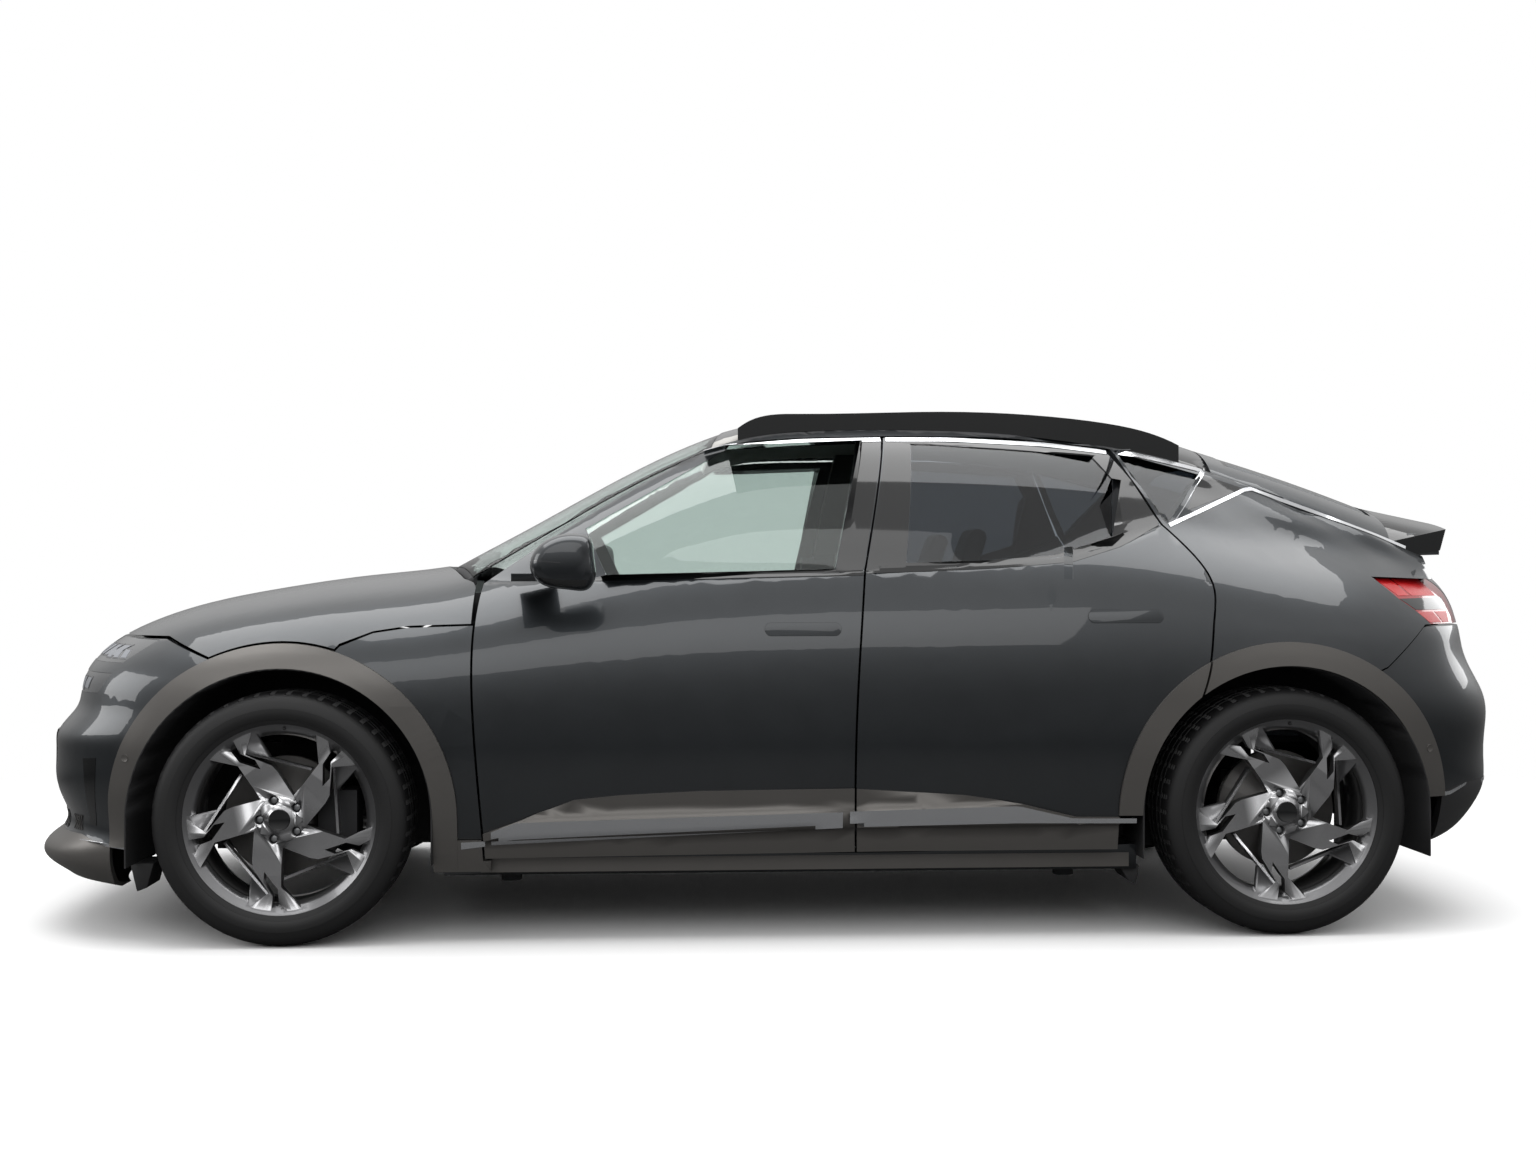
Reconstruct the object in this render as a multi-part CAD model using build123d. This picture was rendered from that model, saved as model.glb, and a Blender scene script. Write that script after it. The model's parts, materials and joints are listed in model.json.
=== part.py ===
from build123d import *
import os

import numpy as np

os.makedirs("parts", exist_ok=True)

# The frame: +X points to the rear, +Y to the car's right side and +Z up.
# The origin is on the ground, at the middle of the length and width.

# Overall sizes
WHEELBASE = 2900.0
FRONT_OVERHANG = 820.0
REAR_OVERHANG = 795.0
BODY_WIDTH = 1890.0
ROOF_HEIGHT = 1562.0

# Wheels and tyres
TYRE_RADIUS = 362.0
TYRE_WIDTH = 255.0
RIM_RADIUS = 284.0
RIM_WIDTH = 236.0
RIM_WALL = 9.0
TRACK = 1604.0
SPOKES = 5
LUG_CIRCLE = 114.3
LUG_WELL = 27.0
DISH_RADIUS = 239.0
FACE_DEPTH = 8.0
SPOKE_DEPTH = 34.0
HUB_BORE = 64.0
DISC_RADIUS = 172.0

# Wheel openings
ARCH_RADIUS = 428.0
ARCH_TRIM_WIDTH = 69.0
ARCH_TRIM_PROUD = 11.0
ARCH_TRIM_DEPTH = 34.0
LINER_WALL = 4.0
COVER_PROUD = 8.0
STRIP_PROUD = 16.0

# Panels, seams and glass
SHUT_GAP = 6.5
FIT_GAP = 0.3
SKIN = 24.0
DOOR_DEPTH = 112.0
DOOR_RETURN = 30.0
FRAME_DEPTH = 40.0
FRAME_RECESS = 2.0
SIDE_WALL = 60.0
BUMPER_WALL = 60.0
HOOD_WALL = 32.0
ROOF_WALL = 22.0
GLASS = 5.0
GLASS_RECESS = 3.0
FENDER_WALL = 11.0
LAMP_INNER = 420.0
LAMP_DEPTH = 50.0
TAIL_LAMP_DEPTH = 45.0
GATE_DEPTH = 40.0
GATE_HALF = 552.0
POST_DEPTH = 50.0
PILLAR_DEPTH = 85.0

# Underbody and cabin
SILL_BOTTOM = 190.0
SILL_TOP = 262.0
SILL_INNER = 700.0
FLOOR_TOP = 300.0
FLOOR_WALL = 30.0
BATTERY_BOTTOM = 165.0
SEAT_WIDTH = 510.0
SEAT_PLACE = 380.0
SEAT_HEIGHT = 560.0
KINGPIN = 782.0
JACK_FACE = 165.0

HALF_WIDTH = BODY_WIDTH / 2
NOSE = -(FRONT_OVERHANG + WHEELBASE + REAR_OVERHANG) / 2
TAIL = -NOSE
FRONT_AXLE = NOSE + FRONT_OVERHANG
REAR_AXLE = TAIL - REAR_OVERHANG
AXLE_HEIGHT = TYRE_RADIUS
WHEEL_Y = TRACK / 2
TRIM_RADIUS = ARCH_RADIUS + ARCH_TRIM_WIDTH
BEAD_RADIUS = RIM_RADIUS - 15.8


def smooth_curve(*points):
    """A curve through (place, value) points that bends smoothly and runs straight beyond its ends."""
    x, y = np.array(points, float).T
    count, step = len(x), np.diff(x)
    system, right = np.zeros((count, count)), np.zeros(count)
    system[0, 0] = system[-1, -1] = 1
    for i in range(1, count - 1):
        system[i, i - 1:i + 2] = step[i - 1], 2 * (step[i - 1] + step[i]), step[i]
        right[i] = 6 * ((y[i + 1] - y[i]) / step[i] - (y[i] - y[i - 1]) / step[i - 1])
    bend = np.linalg.solve(system, right)
    first = (y[1] - y[0]) / step[0] - step[0] * bend[1] / 6
    last = (y[-1] - y[-2]) / step[-1] + step[-1] * bend[-2] / 6

    def value(place):
        place = np.asarray(place, float)
        i = np.clip(np.searchsorted(x, place) - 1, 0, count - 2)
        a, b, h = x[i + 1] - place, place - x[i], step[i]
        inside = (bend[i] * a**3 + bend[i + 1] * b**3) / (6 * h)
        inside = inside + (y[i] / h - bend[i] * h / 6) * a + (y[i + 1] / h - bend[i + 1] * h / 6) * b
        inside = np.where(place < x[0], y[0] + first * (place - x[0]), inside)
        return np.where(place > x[-1], y[-1] + last * (place - x[-1]), inside)

    return value


def front(distance):
    """X at a distance behind the front axle."""
    return FRONT_AXLE + distance


def rear(distance):
    """X at a distance behind the rear axle."""
    return REAR_AXLE + distance


# The body's form lines, seen from the side and from above
half_width_at = smooth_curve(
    (front(-400), HALF_WIDTH - 18), (front(0), HALF_WIDTH - 14), (front(700), HALF_WIDTH - 24),
    (front(1440), HALF_WIDTH - 26), (rear(-700), HALF_WIDTH - 22), (rear(0), HALF_WIDTH - 12),
    (rear(400), HALF_WIDTH - 16))
shoulder_top_at = smooth_curve(
    (front(-722), 770), (front(-662), 838), (front(-562), 900), (front(-458), 940), (front(-294), 985),
    (front(-130), 1016), (front(35), 1042), (front(201), 1062), (front(367), 1080), (front(566), 1125),
    (front(879), 1205), (front(1438), 1290), (rear(-862), 1320), (rear(-362), 1310), (rear(0), 1225),
    (rear(338), 1165), (rear(600), 1125), (rear(838), 1085))
nose_at = smooth_curve(
    (140, NOSE + 218), (160, NOSE + 118), (186, NOSE + 43), (216, NOSE + 8), (251, NOSE), (301, NOSE + 60),
    (410, NOSE + 54), (545, NOSE + 48), (589, NOSE + 52), (665, NOSE + 110), (709, NOSE + 119),
    (796, NOSE + 129), (860, NOSE + 168), (1000, NOSE + 278))
tail_at = smooth_curve(
    (225, TAIL - 235), (249, TAIL - 150), (294, TAIL - 74), (356, TAIL - 26), (388, TAIL - 9),
    (511, TAIL - 4), (579, TAIL), (667, TAIL), (719, TAIL - 21), (806, TAIL - 64), (852, TAIL - 71),
    (985, TAIL - 82), (1067, TAIL - 116), (1113, TAIL - 160), (1200, TAIL - 257))
cabin_width_at = smooth_curve(
    (front(338), 690), (front(550), 756), (front(878), 805), (front(1438), 830), (rear(-862), 829),
    (rear(-362), 752), (rear(0), 705), (rear(338), 660), (rear(638), 610))
roof_at = smooth_curve(
    (front(338), ROOF_HEIGHT - 536), (front(398), ROOF_HEIGHT - 496), (front(538), ROOF_HEIGHT - 417),
    (front(703), ROOF_HEIGHT - 327), (front(870), ROOF_HEIGHT - 233), (front(1038), ROOF_HEIGHT - 144),
    (front(1203), ROOF_HEIGHT - 70), (front(1338), ROOF_HEIGHT - 26), (front(1498), ROOF_HEIGHT - 6),
    (front(1738), ROOF_HEIGHT), (rear(-928), ROOF_HEIGHT - 2), (rear(-662), ROOF_HEIGHT - 10),
    (rear(-454), ROOF_HEIGHT - 24), (rear(-233), ROOF_HEIGHT - 57), (rear(-67), ROOF_HEIGHT - 104),
    (rear(99), ROOF_HEIGHT - 154), (rear(266), ROOF_HEIGHT - 210), (rear(435), ROOF_HEIGHT - 272),
    (rear(551), ROOF_HEIGHT - 319), (rear(638), ROOF_HEIGHT - 357))
belt_at = smooth_curve(
    (front(538), 1029), (front(878), 1039), (front(1640), 1063), (rear(-870), 1086), (rear(-674), 1104),
    (rear(-463), 1150), (rear(-312), 1207), (rear(-200), 1262))
seam_at = smooth_curve(
    (front(338), 668), (front(700), 618), (front(1038), 572), (front(1338), 551), (front(1738), 548),
    (rear(-400), 548), (rear(0), 552), (rear(538), 560))
blend_at = smooth_curve(
    (front(500), 14), (front(1500), 14), (rear(-700), 20), (rear(0), 90), (rear(600), 100))

ROLL_START = 620.0
ROLL_POWER = 3.0
TUCK_START = 600.0
TUCK = 55.0
CORNER_POWER = 3.8
NOSE_TAPER_START = front(190)
TAIL_TAPER_START = rear(-210)
CABIN_BASE = 850.0
CABIN_SIDE_POWER = 4.0
CABIN_TOP_POWER = 2.4


def lower_body_y(x, z):
    """Half width of the lower body, tucked in at the sill and rounded at the shoulder and both ends."""
    wide = half_width_at(np.clip(x, front(-560), rear(540)))
    wide = wide - TUCK * (np.clip(TUCK_START - z, 0, None) / 400) ** 2
    roll = np.clip((z - ROLL_START) / (shoulder_top_at(x) - ROLL_START), 0, 1)
    nose = np.clip((NOSE_TAPER_START - x) / (NOSE_TAPER_START - nose_at(z)), 0, 1)
    tail = np.clip((x - TAIL_TAPER_START) / (tail_at(z) - TAIL_TAPER_START), 0, 1)
    narrowing = (1 - roll**ROLL_POWER) ** (1 / ROLL_POWER)
    for corner in (nose, tail):
        narrowing = narrowing * (1 - corner**CORNER_POWER) ** (1 / CORNER_POWER)
    return wide * narrowing


def cabin_y(x, z):
    """Half width of the glasshouse."""
    height = np.clip((z - CABIN_BASE) / (roof_at(x) - CABIN_BASE), 0, 1)
    return cabin_width_at(x) * (1 - height**CABIN_TOP_POWER) ** (1 / CABIN_SIDE_POWER)


def cabin_z(x, y):
    """Height of the windscreen, roof and fastback."""
    across = np.clip(np.abs(y) / cabin_width_at(x), 0, 1)
    return CABIN_BASE + (roof_at(x) - CABIN_BASE) * (1 - across**CABIN_SIDE_POWER) ** (1 / CABIN_TOP_POWER)


def side_y(x, z):
    """Half width of the whole side, where the shoulder flows into the glasshouse."""
    a, b, blend = lower_body_y(x, z), cabin_y(x, z), blend_at(x)
    return (a + b + np.sqrt((a - b) ** 2 + blend**2)) / 2


def solve(function, full, empty, target):
    """The places where a function that falls from full to empty reaches the target."""
    for _ in range(40):
        middle = (full + empty) / 2
        above = function(middle) > target
        full, empty = np.where(above, middle, full), np.where(above, empty, middle)
    return (full + empty) / 2


def surface(rows):
    """A smooth face through a grid of points."""
    grid = [[Vector(*point) for point in row] for row in rows]
    return Face.make_surface_from_array_of_points(grid, tol=0.2)


def swept_face(face, way):
    """The solid that a face sweeps when it moves along a straight way."""
    return Solid(Solid.extrude(face, Vector(*way)).wrapped)


def side_slab(width, x_range, low, high, depth, columns=24, rows=18, inset=0.0):
    """A slab of the car's left side between two lines seen from the side, as deep as asked."""
    grid = []
    for x in np.linspace(*x_range, columns):
        heights = np.linspace(low(x), high(x), rows)
        grid.append([(x, inset - float(width(x, z)), z) for z in heights])
    return swept_face(surface(grid), (0, depth, 0))


def roof_slab(x_front, x_back, half, depth, sink=0.0, columns=11, rows=9):
    """A slab of the windscreen, roof or fastback between two lines seen from above."""
    grid = []
    for t in np.linspace(0, 1, rows):
        row = []
        for s in np.linspace(-1, 1, columns):
            x = x_front(s) + t * (x_back(s) - x_front(s))
            y = s * half(x)
            row.append((x, y, float(cabin_z(x, y)) - sink))
        grid.append(row)
    return swept_face(surface(grid), (0, 0, -depth))


def end_slab(end, reach, heights, depth, columns=25, inset=0.0):
    """A slab that wraps round the nose (end -1) or the tail (end 1), from one side at reach to the other."""
    sides = np.linspace(-1, 1, columns)
    grid = []
    for z in heights:
        limit = lower_body_y(reach, z)
        y = np.abs(np.sin(sides * np.pi / 2)) * limit
        tip = nose_at(z) if end < 0 else tail_at(z)
        full, empty = np.full(columns, reach), np.full(columns, float(tip))
        x = solve(lambda place: lower_body_y(place, z), full, empty, y)
        x[[0, -1]] = reach
        grid.append([(float(a) - end * inset, float(b * c), z) for a, b, c in zip(x, y, np.sign(sides))])
    return swept_face(surface(grid), (-end * depth, 0, 0))


def outline_wire(runs, y=0.0):
    """A closed wire seen from the side: a run of two points is straight, a longer one a smooth curve."""
    edges = []
    for run in runs:
        points = [Vector(x, y, z) for x, z in run]
        edges.append(Edge.make_line(*points) if len(points) == 2 else Edge.make_spline(points))
    return Wire(edges)


def closed(points):
    """The straight runs of a closed polygon."""
    return [[a, b] for a, b in zip(points, points[1:] + points[:1])]


def plan_cutter(points, z_low=0.0, z_high=1800.0):
    """A prism upwards with an outline seen from above."""
    face = Face(Wire.make_polygon([Vector(x, y, z_low) for x, y in points], close=True))
    return swept_face(face, (0, 0, z_high - z_low))


def box(x_range, y_range, z_range):
    """A box between two corners."""
    size = [high - low for low, high in (x_range, y_range, z_range)]
    corner = Vector(x_range[0], y_range[0], z_range[0])
    return Solid.make_box(*size, Plane(corner))


def cross_cylinder(x, z, radius, y_range):
    """A cylinder across the car."""
    plane = Plane((x, y_range[0], z), x_dir=(1, 0, 0), z_dir=(0, 1, 0))
    return Solid.make_cylinder(radius, y_range[1] - y_range[0], plane)


def arch_cutter(axle, radius, y_range=(-1200.0, -300.0)):
    """The wheel opening: a half round over the wheel, straight down below it."""
    top = cross_cylinder(axle, AXLE_HEIGHT, radius, y_range)
    return top + box((axle - radius, axle + radius), y_range, (-50, AXLE_HEIGHT))


def mirrored(shape):
    """The same piece on the car's right side."""
    return shape.mirror(Plane.XZ)


nodes = {}


def keep(name, *shapes):
    """Hold a node's solids for export, and clean away anything that is no solid."""
    solids = [solid for shape in shapes for solid in shape.solids()]
    nodes[name] = solids


def large_solids(shape, least=2e5):
    """The solids of a shape without the slivers that its cuts leave."""
    return [solid for solid in shape.solids() if solid.volume > least]


def keep_both(name, *shapes):
    """Hold a piece and its mirror image as one node."""
    keep(name, *shapes, *[mirrored(shape) for shape in shapes])


def keep_pair(name, *shapes):
    """Hold a left node and its mirror image."""
    keep(name + "_left", *shapes)
    keep(name + "_right", *[mirrored(shape) for shape in shapes])


def half_space(origin, normal, size=3000.0):
    """A large block on the side of a plane that its normal points to."""
    plane = Plane(Vector(*origin), z_dir=Vector(*normal))
    corner = plane.from_local_coords(Vector(-size / 2, -size / 2, 0))
    return Solid.make_box(size, size, size, Plane(corner, x_dir=plane.x_dir, z_dir=plane.z_dir))


def unit(vector):
    """A vector at length one."""
    return vector / np.hypot(*vector)


def grown(runs, distance):
    """A closed outline drawn outwards by a distance, or inwards by a negative one, run by run."""
    paths = [np.array(run, float) for run in runs]
    corners = np.array([path[0] for path in paths])
    turning = sum(a[0] * b[1] - b[0] * a[1] for a, b in zip(corners, np.roll(corners, -1, axis=0)))
    outwards = np.sign(turning) * distance
    moved = []
    for i, path in enumerate(paths):
        before, after = paths[i - 1], paths[(i + 1) % len(paths)]
        inner = [unit(b - a) for a, b in zip(path[:-2], path[2:])]
        ways = [unit(path[1] - path[0]), *inner, unit(path[-1] - path[-2])]
        new = []
        for k, (point, way) in enumerate(zip(path, ways)):
            normal = np.array([way[1], -way[0]])
            other = way
            if k == 0:
                other = unit(before[-1] - before[-2])
            elif k == len(path) - 1:
                other = unit(after[1] - after[0])
            side = np.array([other[1], -other[0]])
            new.append(point + outwards * (normal + side) / (1 + normal @ side))
        moved.append([tuple(point) for point in new])
    return moved


def prism(runs, distance=0.0, y_low=-1200.0, y_high=-300.0):
    """A prism across the car with an outline seen from the side, drawn outwards by a distance."""
    face = Face(outline_wire(grown(runs, distance), y_low))
    return swept_face(face, (0, y_high - y_low, 0))


# Door seams seen from the side, each as points from its start to its end
HALF_GAP = SHUT_GAP / 2
DOOR_FRONT_LOW = (front(571), 240)
DOOR_FRONT_TOP = (front(550), 1031)
SCREEN_TOP = (front(1192), 1432)
SPLIT_LOW = (front(1638), 250)
SPLIT_BELT = (front(1671), 1062)
SPLIT_TOP = (front(1750), 1476)
REAR_LOW = (rear(-ARCH_RADIUS - 24), 252)
REAR_ARCH = (rear(-263), 690)
PILLAR_LOW = (rear(-314), 1206)
PILLAR_TOP = (rear(-440), 1441)

FRONT_EDGE = [DOOR_FRONT_TOP, (front(540), 926), (front(537), 813), (front(548), 557), DOOR_FRONT_LOW]
SPLIT_LOWER = [SPLIT_LOW, (front(1638), 637), SPLIT_BELT]
SCREEN_EDGE = [SCREEN_TOP, (front(862), 1240), DOOR_FRONT_TOP]
FRONT_TOP_EDGE = [SPLIT_TOP, (front(1500), 1470), (front(1330), 1457), SCREEN_TOP]
HAUNCH = [REAR_ARCH, (rear(-231), 800), (rear(-213), 926), (rear(-202), 1022), (rear(-238), 1110),
          PILLAR_LOW]
REAR_TOP_EDGE = [PILLAR_TOP, (rear(-650), 1466), (rear(-950), 1477), SPLIT_TOP]

FRONT_DOOR = [FRONT_EDGE, [DOOR_FRONT_LOW, SPLIT_LOW], SPLIT_LOWER, [SPLIT_BELT, SPLIT_TOP], FRONT_TOP_EDGE,
              SCREEN_EDGE]
REAR_DOOR = [SPLIT_LOWER[::-1], [SPLIT_LOW, REAR_LOW], [REAR_LOW, REAR_ARCH], HAUNCH,
             [PILLAR_LOW, PILLAR_TOP], REAR_TOP_EDGE, [SPLIT_TOP, SPLIT_BELT]]

FRONT_WINDOW = [(front(916), 1052), (front(1584), 1071), (front(1667), 1453), (front(1272), 1435),
                (front(850), 1192)]
REAR_WINDOW = [(rear(-1106), 1088), (rear(-866), 1097), (rear(-665), 1112), (rear(-475), 1170),
               (rear(-450), 1344), (rear(-506), 1421), (rear(-1067), 1455)]
QUARTER_WINDOW = [(rear(-422), 1432), (rear(-297), 1206), (rear(-160), 1364)]

LEFT_OUT, LEFT_IN = -1200.0, -300.0
LEFT_END, RIGHT_END = -1200.0, 1200.0


def seam_height(x):
    """Height at which the side meets the windscreen, roof or tailgate seam."""
    half = float(seam_at(x))
    return float(solve(lambda z: side_y(x, z), 640.0, float(roof_at(x)), half))


def centre_block(margin):
    """A tall block over the windscreen, roof and tailgate, wider than their seam by a margin."""
    places = np.linspace(front(330), rear(700), 48)
    right = [(float(x), float(seam_at(x)) + margin) for x in places]
    left = [(x, -y) for x, y in right[::-1]]
    return plan_cutter(right + left, 700.0)


def belt(x):
    """Height of the line where the door skin ends and the window frame begins."""
    return float(belt_at(x))


def window_top(x):
    """Height where a window frame ends under the roof."""
    return min(seam_height(x), float(roof_at(x)) - 30)


def make_doors():
    """Four doors: a curved outer skin, an inset inner box and a frame round the window."""
    doors = {}
    plans = {
        "front": (FRONT_DOOR, FRONT_WINDOW, front(530), front(1760), SPLIT_BELT, SPLIT_TOP, 0.36),
        "rear": (REAR_DOOR, REAR_WINDOW, front(1630), rear(-190), PILLAR_LOW, PILLAR_TOP, 0.55),
    }
    for name, (outline, window, x_low, x_high, edge_low, edge_top, lean) in plans.items():
        cutter = prism(outline, -HALF_GAP)
        core_cutter = prism(outline, -HALF_GAP - DOOR_RETURN)
        arch = arch_cutter(REAR_AXLE, TRIM_RADIUS + FIT_GAP)
        skin = side_slab(side_y, (x_low, x_high), lambda x: 220.0, belt, SKIN, columns=14, rows=14) & cutter
        core = side_slab(side_y, (x_low, x_high), lambda x: SILL_TOP + 12, lambda x: belt(x) - 8,
                         DOOR_DEPTH - SKIN / 2, columns=12, rows=12, inset=SKIN / 2) & core_cutter
        if name == "rear":
            skin = skin - arch
            core = core - arch_cutter(REAR_AXLE, TRIM_RADIUS + DOOR_RETURN)
        frame = side_slab(side_y, (x_low, x_high), lambda x: belt(x) - 40, window_top, FRAME_DEPTH,
                          columns=18, rows=12, inset=FRAME_RECESS)
        low_y, top_y = (-float(side_y(x, z)) for x, z in (edge_low, edge_top))
        start = np.array([edge_low[0] - HALF_GAP, low_y, edge_low[1]])
        along = np.array([edge_top[0] - HALF_GAP, top_y, edge_top[1]]) - start
        normal = np.cross(along, (-lean, 1, 0))
        if normal[0] < 0:
            normal = -normal
        frame = (frame & cutter) - half_space(start, normal) - prism(closed(window)) - centre_block(SHUT_GAP)
        doors[name] = skin + core + frame
        glass = side_slab(side_y, (x_low, x_high), belt, window_top, GLASS, columns=16, rows=10,
                          inset=FRAME_RECESS + GLASS_RECESS)
        keep_pair(name + "_door", doors[name])
        keep_pair(name + "_door_glass", glass & prism(closed(window), -FIT_GAP))


def make_body_side():
    """The body side in one piece: pillar, roof side, rear quarter and sill, with the inner posts."""
    side = side_slab(side_y, (front(500), rear(560)), lambda x: SILL_BOTTOM + 6, seam_height, SIDE_WALL,
                     columns=30, rows=22)
    side = side - prism(FRONT_DOOR, HALF_GAP) - prism(REAR_DOOR, HALF_GAP) - centre_block(FIT_GAP)
    side = side - arch_cutter(REAR_AXLE, TRIM_RADIUS + FIT_GAP)
    side = side - box((front(400), DOOR_FRONT_TOP[0] + HALF_GAP), (LEFT_OUT, LEFT_IN), (0, 985))
    side = side - box((front(400), DOOR_FRONT_TOP[0] + HALF_GAP), (LEFT_OUT, -716), (0, 1200))
    side = side - prism(closed(QUARTER_WINDOW))
    side = side - prism(closed(REAR_BUMPER_SEAM), HALF_GAP)
    side = side - prism(closed(TAIL_LAMP), FIT_GAP)
    side = side.solids().sort_by(SortBy.VOLUME)[-1]
    sill = box((front(452), REAR_AXLE - ARCH_RADIUS), (-845, -SILL_INNER), (SILL_BOTTOM, SILL_TOP))
    sill = sill - box((front(1600), front(1780)), (-846, -817), (SILL_TOP - 18, SILL_TOP + 1))
    hinge_post = box((front(452), front(526)), (-SILL_INNER, -642), (FLOOR_TOP + FIT_GAP, 970))
    hinge_post = hinge_post + box((front(452), front(526)), (-800, -SILL_INNER), (SILL_TOP - 10, 780))
    split_lower = side_slab(side_y, (front(1600), front(1740)), lambda x: SILL_TOP - 12,
                            lambda x: belt(x) + 60, POST_DEPTH, columns=4, rows=12, inset=DOOR_DEPTH + 12)
    split_upper = side_slab(side_y, (front(1600), front(1790)), lambda x: belt(x) + 14, lambda x: 1489.0,
                            PILLAR_DEPTH, columns=5, rows=10, inset=FRAME_DEPTH + 12)
    split_upper = split_upper & prism(closed([(front(1630), 1000), (front(1706), 1000), (front(1790), 1495),
                                              (front(1712), 1495)]))
    quarter_glass = side_slab(side_y, (rear(-460), rear(-120)), lambda x: 1180.0,
                              lambda x: seam_height(x) - 10, GLASS, columns=10, rows=10, inset=GLASS_RECESS)
    pads = [Solid.make_cylinder(30, 30, Plane((x, -770, JACK_FACE))) for x in (front(640), front(2270))]
    body = side + sill + hinge_post + split_lower + split_upper + pads
    keep_both("body_sides", *large_solids(body))
    keep_both("quarter_glass", quarter_glass & prism(closed(QUARTER_WINDOW), -FIT_GAP))


ROOF_BACK = rear(-113)
REAR_BUMPER_SEAM = [(rear(250), 60), (rear(250), 760), (rear(306), 782), (rear(457), 903), (rear(900), 903),
                    (rear(900), 60)]
TAIL_LAMP = [(rear(322), 1049), (rear(900), 1030), (rear(900), 906), (rear(480), 906), (rear(436), 946),
             (rear(384), 984)]
HEAD_LAMP = [(front(-700), 800), (front(-478), 800), (front(-380), 866), (front(-480), 868),
             (front(-700), 868)]
LOW_LAMP = [(front(-700), 707), (front(-549), 713), (front(-506), 771), (front(-700), 771)]
LIP_LINE = [(front(-380), 276), (front(-507), 277), (front(-601), 304), (front(-900), 300),
            (front(-900), 50), (front(-380), 50)]
VALANCE_LINE = [(rear(250), 399), (rear(433), 401), (rear(595), 433), (rear(900), 440), (rear(900), 50),
                (rear(250), 50)]
HOOD_SIDE = [(front(-700), 874), (front(-352), 877), (front(-196), 816), (front(125), 816),
             (front(160), 858), (front(252), 893), (front(352), 908), (front(537), 914),
             (front(537), 1200), (front(-700), 1200)]


def make_top():
    """Windscreen, roof and tailgate glass, each one curved sheet."""
    screen = roof_slab(lambda s: front(402) + 112 * s * s, lambda s: front(1285) - 62 * s * s,
                       lambda x: float(seam_at(x)) - 3, GLASS, GLASS_RECESS)
    roof = roof_slab(lambda s: front(1289) - 62 * s * s, lambda s: ROOF_BACK - HALF_GAP,
                     lambda x: float(seam_at(x)) - FIT_GAP, ROOF_WALL)
    keep("windshield", screen)
    keep("roof_panel", roof)


def make_tailgate():
    """The tailgate: a sloping frame round its glass, and the tail panel down to the bumper."""
    gate = roof_slab(lambda s: ROOF_BACK + HALF_GAP, lambda s: rear(545),
                     lambda x: float(seam_at(x)) - SHUT_GAP, GATE_DEPTH)
    top, low = ROOF_BACK + 70, rear(440)
    window = plan_cutter([(top, -470), (low, -450), (low, 450), (top, 470)])
    glass = roof_slab(lambda s: top + FIT_GAP, lambda s: low - FIT_GAP,
                      lambda x: 470 - 20 * (x - top) / (low - top) - FIT_GAP, GLASS, 2.0)
    panel = end_slab(1, rear(380), np.linspace(907, 1165, 9), 55)
    panel = panel & box((rear(300), TAIL + 50), (-GATE_HALF, GATE_HALF), (907 + SHUT_GAP, 1160))
    bridge = box((rear(522), rear(624)), (-540, 540), (1118, 1185))
    gate = (gate - window) + panel + bridge
    keep("tailgate", gate)
    keep("rear_glass", glass)
    sections = []
    for y in (-GATE_HALF, -300, 0, 300, GATE_HALF):
        rise = 44 * (1 - (y / GATE_HALF) ** 2)
        base = float(cabin_z(rear(462), y))
        points = [(rear(462), base + 2), (rear(640) + rise, 1198 + rise), (rear(622) + rise, 1132 + rise),
                  (rear(500), min(base, 1132 + rise) - 20)]
        sections.append(Wire.make_polygon([Vector(x, y, z) for x, z in points], close=True))
    spoiler = Solid.make_loft(sections) - gate
    keep("spoiler", spoiler.solids().sort_by(SortBy.VOLUME)[-1])


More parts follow.
